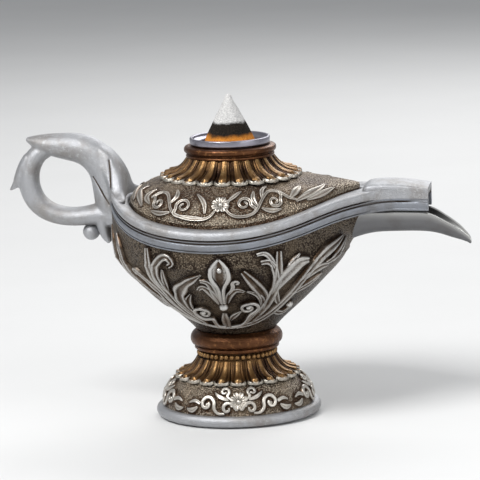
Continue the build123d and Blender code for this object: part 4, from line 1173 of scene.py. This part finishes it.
# The inside of the loop, which is painted darker
handle_hollow_top = 73 * mm
handle_hollow_side = -40 * mm
limb_shares = [
    (0.0, 0.20, 0.85, 1.0), (0.02, 0.30, 1.0, 1.1), (0.035, 0.42, 1.06, 1.16), (0.05, 0.56, 1.08, 1.16),
    (0.095, 0.695, 1.06, 1.08), (0.215, 0.818, 1.02, 1.02), (0.433, 0.876, 0.89, 0.96),
    (0.64, 0.903, 0.64, 0.86), (0.74, 0.925, 0.40, 0.60), (0.818, 0.945, 0.12, 0.28),
]
root_shares = [
    (-0.048, 0.33, 0.5, 1.3), (-0.048, 0.39, 0.54, 2.5), (-0.046, 0.44, 0.56, 2.85), (-0.044, 0.50, 0.57, 2.05),
    (-0.03, 0.59, 0.66, 1.6), (0.02, 0.69, 0.74, 1.22), (0.09, 0.78, 0.7, 0.98), (0.19, 0.84, 0.5, 0.7),
]
# Lines cut into both sides of the handle, as places along X and levels
handle_line_half_width = 0.33 * mm
handle_line_depth = 0.5 * mm
handle_lines = [
    [(-37.7, 82.2), (-37.4, 79.0), (-37.2, 75.5), (-37.3, 72.0), (-37.8, 69.6)],
    [(-43.4, 76.6), (-41.8, 74.3), (-39.6, 70.6), (-38.2, 68.2)],
]
loop_shares = [
    (0.627, 0.853, 0.56, 0.70), (0.725, 0.797, 0.635, 0.80), (0.80, 0.667, 0.69, 0.83),
    (0.80, 0.508, 0.69, 0.83), (0.725, 0.37, 0.67, 0.80), (0.582, 0.283, 0.635, 0.80),
    (0.403, 0.253, 0.615, 0.80), (0.239, 0.262, 0.66, 0.88), (0.12, 0.27, 0.78, 1.0), (-0.02, 0.26, 0.80, 1.15),
]
leaf_shares = [
    (0.80, 0.80, 0.30, 0.66), (0.845, 0.70, 0.44, 0.70), (0.89, 0.61, 0.40, 0.60), (0.94, 0.54, 0.24, 0.40),
    (0.994, 0.492, 0.07, 0.17),
]
pad_shares = [
    (0.04, 0.03, 0.28, 0.36), (0.09, 0.12, 0.46, 0.76), (0.10, 0.24, 0.56, 1.0), (0.06, 0.38, 0.34, 0.75),
]


def limb(shell, shares, stations, squareness=1.0):
    """Limb swept through ovals square to its path. Near the bowl its sides bend with the bands."""
    shape = through(shares, stations)
    middle = np.column_stack([
        -(bowl_radius + shape[:, 0] * handle_reach), np.zeros(stations),
        handle_root_level + shape[:, 1] * handle_rise,
    ])
    up = np.cross(directions(middle), (0, 1, 0))
    half_width = np.maximum(shape[:, 3], 0.05) * handle_width / 2
    half_thick = np.maximum(shape[:, 2], 0.04) * handle_thickness / 2
    turns = np.linspace(0, 2 * pi, 96, endpoint=False)
    across = np.sign(np.cos(turns)) * np.abs(np.cos(turns)) ** squareness
    rise = np.sign(np.sin(turns)) * np.abs(np.sin(turns)) ** squareness
    rows = middle[:, None] + np.array((0, 1, 0)) * (half_width[:, None] * across)[..., None]
    rows = rows + up[:, None] * (half_thick[:, None] * rise)[..., None]
    near = np.clip((handle_bend_top - rows[..., 2]) / handle_bend_height, 0, 1)
    near = near * near * (3 - 2 * near)
    rows[..., 0] += near * (band_radius - np.sqrt(np.maximum(band_radius ** 2 - rows[..., 1] ** 2, 0)))
    shell.grid(rows, capped=True)


def handle():
    """Limbs fused to one casting and smoothed, with lines cut into its sides, darker colour in its hollows, and
    painted shade on its undersides.
    """
    shell = Shell()
    limb(shell, limb_shares, 110)
    limb(shell, root_shares, 60, 0.62)
    limb(shell, loop_shares, 90)
    limb(shell, leaf_shares, 30)
    limb(shell, pad_shares, 24)
    rough = add_object("handle_rough", shell.mesh("handle_rough", silver))
    fused = rough.modifiers.new("fused", "REMESH")
    fused.mode = "VOXEL"
    fused.voxel_size = handle_fusing_step
    fused.use_smooth_shade = True
    eased = rough.modifiers.new("eased", "SMOOTH")
    eased.factor = 0.5
    eased.iterations = handle_smoothing
    result = with_modifiers(rough, "handle_cast")
    count = len(result.vertices)
    places, normals = np.empty(count * 3), np.empty(count * 3)
    result.vertices.foreach_get("co", places)
    result.vertices.foreach_get("normal", normals)
    places, normals = places.reshape(-1, 3), normals.reshape(-1, 3)
    nearest = np.full(count, 1.0)
    for line in handle_lines:
        for spot in through(line, 60) * mm:
            nearest = np.minimum(nearest, np.hypot(places[:, 0] - spot[0], places[:, 2] - spot[1]))
    cut = np.exp(-(nearest / handle_line_half_width) ** 2) * np.clip(np.abs(normals[:, 1]) * 4 - 0.6, 0, 1)
    places -= normals * (handle_line_depth * cut)[:, None]
    hollow = np.clip((handle_hollow_top - places[:, 2]) / (3 * mm), 0, 1)
    hollow *= np.clip((handle_hollow_side - places[:, 0]) / (2 * mm), 0, 1)
    # Painted shade: surfaces that face down are painted darker
    under = np.clip(-normals[:, 2] * 1.4 - 0.5, 0, 1)
    crest = 1 - 1.2 * cut - 0.35 * hollow - 0.3 * under
    # The casting stays out of the mouth, so that the lid lifts past it
    reach = np.hypot(places[:, 0], places[:, 1])
    push = np.maximum(reach, mouth_radius + 0.5 * mm) / reach
    places[:, :2] *= push[:, None]
    result.vertices.foreach_set("co", places.reshape(-1))
    result.attributes.new("crest", "FLOAT", "POINT").data.foreach_set("value", crest)
    result.materials.clear()
    result.materials.append(silver)
    stand(result, "lamp", "silver", "handle")


def handle_ball():
    """Ball with a faint seam round its middle."""
    centre, radius, steps = np.array((-45.2, 0, 58.7)) * mm, 2.75 * mm, 48
    turns = np.linspace(0, 2 * pi, steps, endpoint=False)
    rows, crest = [], []
    for rise in np.radians(np.linspace(-90, 90, 25)):
        seam = np.exp(-(rise / 0.12) ** 2)
        ring = np.column_stack([
            np.cos(turns) * cos(rise), np.full(steps, sin(rise)), np.sin(turns) * cos(rise),
        ])
        rows.append(centre + ring * radius * (1 - 0.05 * seam))
        crest.append(np.full(steps, 1 - 0.8 * seam))
    shell = Shell().grid(rows, crest=crest)
    stand(shell.mesh("handle_ball_cast", silver), "lamp", "silver", "handle_ball")


# Lid: domed drop with a rounded edge, a plug under it, a neck for the crown and a port through it
lid_neck_radius = 10.6 * mm
plug_depth = 3.2 * mm
plug_radius = mouth_radius - 3.0 * mm
plug_bore_radius = mouth_radius - 5.0 * mm
# Hollow under the lid: radii, and levels above the bands' top
lid_hollow = [(27.6, -1.0), (27.2, 2.0), (24.0, 4.6), (19.0, 8.4)]


def lid_shell(scrolls):
    """Lid from its port and neck over the dome to the plug, with dark wash and painted shade round the scrolls,
    painted sheen towards its edge and painted shade in a band at the edge.
    """
    count = 400
    angles = np.linspace(-pi, pi, count, endpoint=False)
    facing = np.column_stack([np.cos(angles), np.sin(angles)])
    turn = np.degrees(angles + pi / 2)
    rows, crest = [], []

    def ring(radius, level, tone, follow=False):
        plan = facing * (radius if np.ndim(radius) else np.full(count, radius))[:, None]
        rise = sheer(plan[:, 0]) if follow else 0
        rows.append(np.column_stack([plan, level + rise + np.zeros(count)]))
        crest.append(np.full(count, tone))

    port, neck = port_radius, lid_neck_radius
    for radius, level, tone in (
        (port, lid_top - 3.2 * mm, 0.1), (port, crown_top - 0.3 * mm, 0.1), (port + 0.3 * mm, crown_top, 0.5),
        (neck - 0.3 * mm, crown_top, 0.5), (neck, crown_top - 0.3 * mm, 0.3), (neck, lid_top, 0.1),
    ):
        ring(radius, level, tone)
    dome_start = len(rows)
    for level in np.concatenate([np.linspace(100, 20, 30), np.linspace(18, 8, 9), np.linspace(6, 0, 5)]):
        rows.append(lid_face(turn, level))
        # Painted sheen: the dome is painted lighter towards its edge, and the lowest band at the edge is painted dark
        # as painted shade in the gap under the lid
        wear_and_sheen = 0.95 - 0.45 * min(1.0, max(0.0, (level - 20) / 60))
        crest.append(np.full(count, 0.35 if level <= 9 else wear_and_sheen))
    dome_end = len(rows)
    edge = lid_edge(angles)
    ring(edge, rim_top - 0.9 * mm, 0.3, follow=True)
    plug = drop_radius(angles, plug_radius, mouth_tip_radius - 1.5 * mm, bowl_radius + 0.5 * mm)
    ring(plug, rim_top - 1.0 * mm, 0.3, follow=True)
    ring(plug, rim_top - plug_depth, 0.3, follow=True)
    bore = drop_radius(angles, plug_bore_radius, 0.6 * mm, bowl_radius - 1.5 * mm)
    ring(bore, rim_top - plug_depth, 0.3, follow=True)
    for radius, up in lid_hollow:
        ring(radius * mm, rim_top + up * mm, 0.2)
    crest = np.array(crest)
    # Dark wash and painted shade round the scrolls
    crest[dome_start:dome_end] -= shade_and_wash_round(rows[dome_start:dome_end], scrolls.points, 0.7 * mm)
    shell = Shell().grid(rows, crest=crest, loop=True)
    stand(shell.mesh("lid_shell", brown_ground, 40), "lid", "antique_silver", "lid")


def lid_scrolls():
    """Flower and running vines of one side of the lid, and the same again on the other."""
    shell = Shell()
    face = lid_face

    def add(path, widths, height=0.8, groove=0.4, **more):
        leaf(shell, face, path, widths, height, groove, **more)

    thin = [0.35, 0.55, 0.6, 0.6, 0.55, 0.6, 0.6, 0.35]
    curled = [0.35, 0.6, 0.6, 0.5, 0.35]
    blade = [0.3, 0.9, 0.25]
    flower(shell, face, (1, 58), 2.9, 8, 0.9)
    # Vine towards the spout, a curl in each of its bends
    add([(4, 48), (7, 34), (14, 26), (21, 32), (25, 48), (29, 66), (35, 78), (41, 72), (45, 54), (50, 40)], thin,
        stations=70)
    add([(18, 28), (22, 42)] + curl(face, (15.5, 56), 2.3, 1.3, -20, 1), curled, stations=46)
    add([(40, 76), (41, 62)] + curl(face, (35.5, 50), 2.1, 1.3, 10, -1), curled, stations=46)
    add([(24, 46), (22, 66), (24, 84)], blade)
    add([(5, 64), (10, 76), (15, 86)], [0.3, 0.8, 0.25])
    add([(28, 64), (30, 82), (36, 90)], [0.3, 0.8, 0.25])
    add([(26, 40), (31, 28), (38, 26)], blade)
    add([(46, 50), (52, 64), (60, 78)], [0.3, 1.2, 0.25])
    add([(49, 36), (58, 46), (68, 56), (75, 66)], [0.4, 1.2, 1.1, 0.25])
    add([(56, 30), (66, 34), (76, 46)], [0.3, 1.1, 0.25])
    # Vine towards the handle
    add([(-2, 46), (-5, 30), (-13, 23), (-22, 26), (-29, 38), (-33, 56), (-38, 74), (-45, 76), (-50, 58)], thin,
        stations=70)
    add([(-8, 26), (-18, 27), (-27, 36)] + curl(face, (-22.5, 52), 2.6, 1.35, 215, -1), curled, stations=50)
    add([(-43, 78), (-47, 64)] + curl(face, (-41, 50), 2.0, 1.2, 170, 1), curled, stations=46)
    add([(-8, 38), (-9, 58), (-16, 82)], blade)
    add([(-33, 54), (-30, 74), (-34, 88)], blade)
    add([(-30, 34), (-36, 26), (-44, 27)], blade)
    add([(-48, 42), (-55, 58), (-53, 80)], [0.3, 1.3, 0.25])
    add([(-54, 28), (-62, 44), (-70, 62), (-68, 80)], [0.4, 1.2, 1.2, 0.25])
    add([(-68, 28), (-78, 46), (-85, 64)], [0.4, 1.1, 0.25])
    shell.mirror()
    stand(shell.mesh("lid_scrolls_cast", scroll_silver, 60), "lid", "antique_silver", "lid_scrolls")
    return shell


def lid_collar():
    """Ring of two steps that the pan sits in."""
    profile = [
        (11.2, 0.0), (13.3, 0.0), (13.75, 0.15), (13.95, 0.6), (13.75, 1.05), (13.3, 1.25), (13.35, 1.5),
        (14.1, 1.65), (14.45, 2.0), (14.5, 2.5), (14.45, 3.0), (14.15, 3.4), (13.4, 3.68), (11.2, 3.7),
    ]
    outline = [(r * mm, crown_top + z * mm) for r, z in profile]
    shell = Shell().grid(turned(soften(outline, 0.12 * mm)), loop=True)
    stand(shell.mesh("lid_collar_turned", copper), "lid", "copper", "lid_collar")


# Pan and cone
def steel_finish(name, colour, roughness, scratches):
    """Bare steel with fine turning marks and soft stains."""
    material, tree, surface = new_finish(name)
    marks = noise(tree, 0.6 * mm, 3.0, 0.6, (0.25, 0.25, 4.0))
    stains = noise(tree, 5 * mm, 5.0, 0.6)
    tint = mix(tree, between(tree, stains, 0.5, 0.75), colour, tuple(c * 0.6 for c in colour))
    dress(tree, surface, tint, maths(tree, "MULTIPLY_ADD", marks, 0.2, roughness - 0.1), 1.0)
    raise_bump(tree, surface, maths(tree, "MULTIPLY", marks, scratches), 0.5, 0.1 * mm)
    return material


pan_steel = steel_finish("pan steel", (0.33, 0.32, 0.37), 0.34, 0.6)
screw_steel = steel_finish("screw steel", (0.5, 0.5, 0.51), 0.36, 0.8)


def felt_finish():
    """Dark matt felt with fine fibres."""
    material, tree, surface = new_finish("felt")
    fibres = noise(tree, 0.3 * mm, 6.0, 0.8)
    colour = mix(tree, between(tree, fibres, 0.3, 0.7), (0.012, 0.012, 0.012), (0.035, 0.033, 0.03))
    dress(tree, surface, colour, 0.95)
    raise_bump(tree, surface, fibres, 0.7, 0.2 * mm)
    return material


def cone_finish():
    """Pressed incense: bright orange-brown at the base, the incense's own colour brightened as a painted glow, a
    black burning band, and pale ash above it.
    """
    material, tree, surface = new_finish("pressed incense")
    place = tree.nodes.new("ShaderNodeTexCoord").outputs["Object"]
    parts = tree.nodes.new("ShaderNodeSeparateXYZ")
    tree.links.new(place, parts.inputs[0])
    patches = noise(tree, 4 * mm, 5.0, 0.6)
    grain = noise(tree, 0.35 * mm, 5.0, 0.75)
    level = maths(tree, "MULTIPLY_ADD", patches, 2.4 * mm, parts.outputs["Z"])
    level = maths(tree, "MULTIPLY_ADD", grain, 0.7 * mm, level)
    # The base's orange-brown is the incense's colour, made bright as a painted glow
    base = mix(tree, between(tree, grain, 0.35, 0.65), (0.46, 0.15, 0.02), (0.75, 0.3, 0.05))
    ash = mix(tree, between(tree, grain, 0.35, 0.7), (0.42, 0.415, 0.41), (0.78, 0.77, 0.75))
    char = mix(tree, between(tree, grain, 0.4, 0.8), (0.008, 0.007, 0.006), (0.05, 0.035, 0.025))
    top = high("incense_cone").z
    charred_from, charred_to = top - 12.0 * mm, top - 10.4 * mm
    ash_from, ash_to = top - 7.6 * mm, top - 6.6 * mm
    colour = mix(tree, between(tree, level, charred_from, charred_to), base, char)
    colour = mix(tree, between(tree, level, ash_from, ash_to), colour, ash)
    dress(tree, surface, colour, 0.95)
    surface.inputs["Specular IOR Level"].default_value = 0.15
    raise_bump(tree, surface, grain, 0.9, 0.35 * mm)
    return material


def cone_dish():
    """Pan with a rolled rim, a shallow cup and a hole in its floor."""
    seat = lid_collar_top + 0.2 * mm
    profile = [
        (2.2, -2.8), (10.7, -2.8), (10.9, -2.6), (10.9, 0.0), (12.1, 0.0), (12.55, 0.4), (12.6, 1.0), (12.6, 2.1),
        (12.4, 2.3), (11.9, 2.3), (11.65, 2.1), (11.5, 1.5), (10.3, 1.05), (9.95, 0.8), (9.9, -1.6), (9.7, -1.8),
        (2.2, -1.8),
    ]
    outline = [(r * mm, seat + z * mm) for r, z in profile]
    shell = Shell().grid(turned(soften(outline, 0.15 * mm)), loop=True)
    stand(shell.mesh("cone_dish_spun", pan_steel), "dish", "pan_steel", "cone_dish")


def incense_cone():
    """Cone with a blind hole in its base and a rough skin, roughest where it is burnt."""
    bottom, top = low("incense_cone").z, high("incense_cone").z
    tip, shoulder = 1.3 * mm, 3.0 * mm
    hole_radius, hole_depth = 1.8 * mm, 8 * mm
    edge_round = 0.3 * mm
    profile = [
        (hole_radius, bottom + hole_depth), (hole_radius, bottom), (cone_radius - edge_round, bottom),
        (cone_radius, bottom + 0.4 * mm),
    ]
    for up in np.linspace(0, 1, 60):
        level = bottom + shoulder + up * (top - tip - bottom - shoulder)
        profile.append((cone_radius + (tip - cone_radius) * up ** 1.06, level))
    for t in np.radians([25, 50, 70, 85]):
        profile.append((tip * cos(t), top - tip + tip * sin(t)))
    rows = []
    for i, (r, z) in enumerate(profile):
        burnt = min(1.0, max(0.0, (z - bottom) / (top - bottom) * 2 - 0.8))
        rough = (0.06 + 0.22 * burnt) * mm
        ring = []
        for t in np.linspace(0, 2 * pi, 120, endpoint=False):
            swell = 0.0
            if i > 2:
                place = Vector((r * cos(t), r * sin(t), z)) / (1.6 * mm)
                swell = -rough * (0.5 + 0.5 * fractal(place, 0.7, 2.0, 3)) * min(1.0, r / (2 * mm))
            ring.append(((r + swell) * cos(t), (r + swell) * sin(t), z))
        rows.append(ring)
    shell = Shell().grid(rows, capped=True)
    stand(shell.mesh("incense_cone_pressed", cone_finish(), 60), "cone", "incense", "incense_cone")


foot_rim()
foot_skirt(foot_scrolls())
crown(
    "foot", neck_radius=9.45 * mm, top_radius=12.2 * mm, seat=petal_seat, top=foot_top, count=22, ribs=1, body="lamp",
    node="foot_petals",
)
bead_ring()
collar_ring()
bowl_ground(bowl_leaves())
rim_lower()
rim_upper()
spout_hood()
spout_lip()
handle()
handle_ball()
lid_shell(lid_scrolls())
crown(
    "lid", neck_radius=10.65 * mm, top_radius=13.2 * mm, seat=lid_top, top=crown_top, count=24, ribs=2, body="lid",
    node="lid_petals",
)
lid_collar()
cone_dish()
incense_cone()

# Nodes of the CAD model that show as they are
kept = {"base_pad": felt_finish(), "handle_pins": screw_steel, "tie_screw": screw_steel}
for node, material in kept.items():
    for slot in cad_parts[node].material_slots:
        slot.material = material


# Floor and light
def floor_finish():
    """Matt floor, pale with a faint mottle."""
    material, tree, surface = new_finish("pale floor")
    mottle = noise(tree, 60 * mm, 4.0, 0.5)
    colour = mix(tree, mottle, (0.66, 0.66, 0.655), (0.7, 0.7, 0.695))
    dress(tree, surface, colour, 0.8)
    return material


def floor():
    """Floor that the part stands on."""
    shell = Shell()
    places = np.linspace(-3, 3, 13)
    shell.grid([[(x, y, 0) for y in places] for x in places], ring=False)
    ground = add_object("floor", shell.mesh("floor", floor_finish()))


part_middle = Vector((0, 0, 50 * mm))


def soft_lamp(name, place, size, power):
    """Square studio lamp that faces the middle of the part."""
    data = bpy.data.lights.new(name, "AREA")
    data.size = size
    data.energy = power
    lamp = add_object(name, data)
    lamp.location = place
    lamp.rotation_mode = "QUATERNION"
    lamp.rotation_quaternion = (Vector(place) - part_middle).to_track_quat("Z", "Y")


floor()
soft_lamp("key lamp", (-0.35, -0.5, 0.75), 0.4, 9.0)
soft_lamp("fill lamp", (0.7, -0.45, 0.4), 0.6, 2.5)
soft_lamp("back lamp", (0.15, 0.7, 0.6), 0.6, 4.0)
world = bpy.data.worlds.new("room")
world.use_nodes = True
sky = world.node_tree.nodes["Background"]
sky.inputs["Color"].default_value = (0.8, 0.82, 0.85, 1)
sky.inputs["Strength"].default_value = 0.42
bpy.context.scene.world = world
bpy.context.scene.view_settings.view_transform = "Standard"
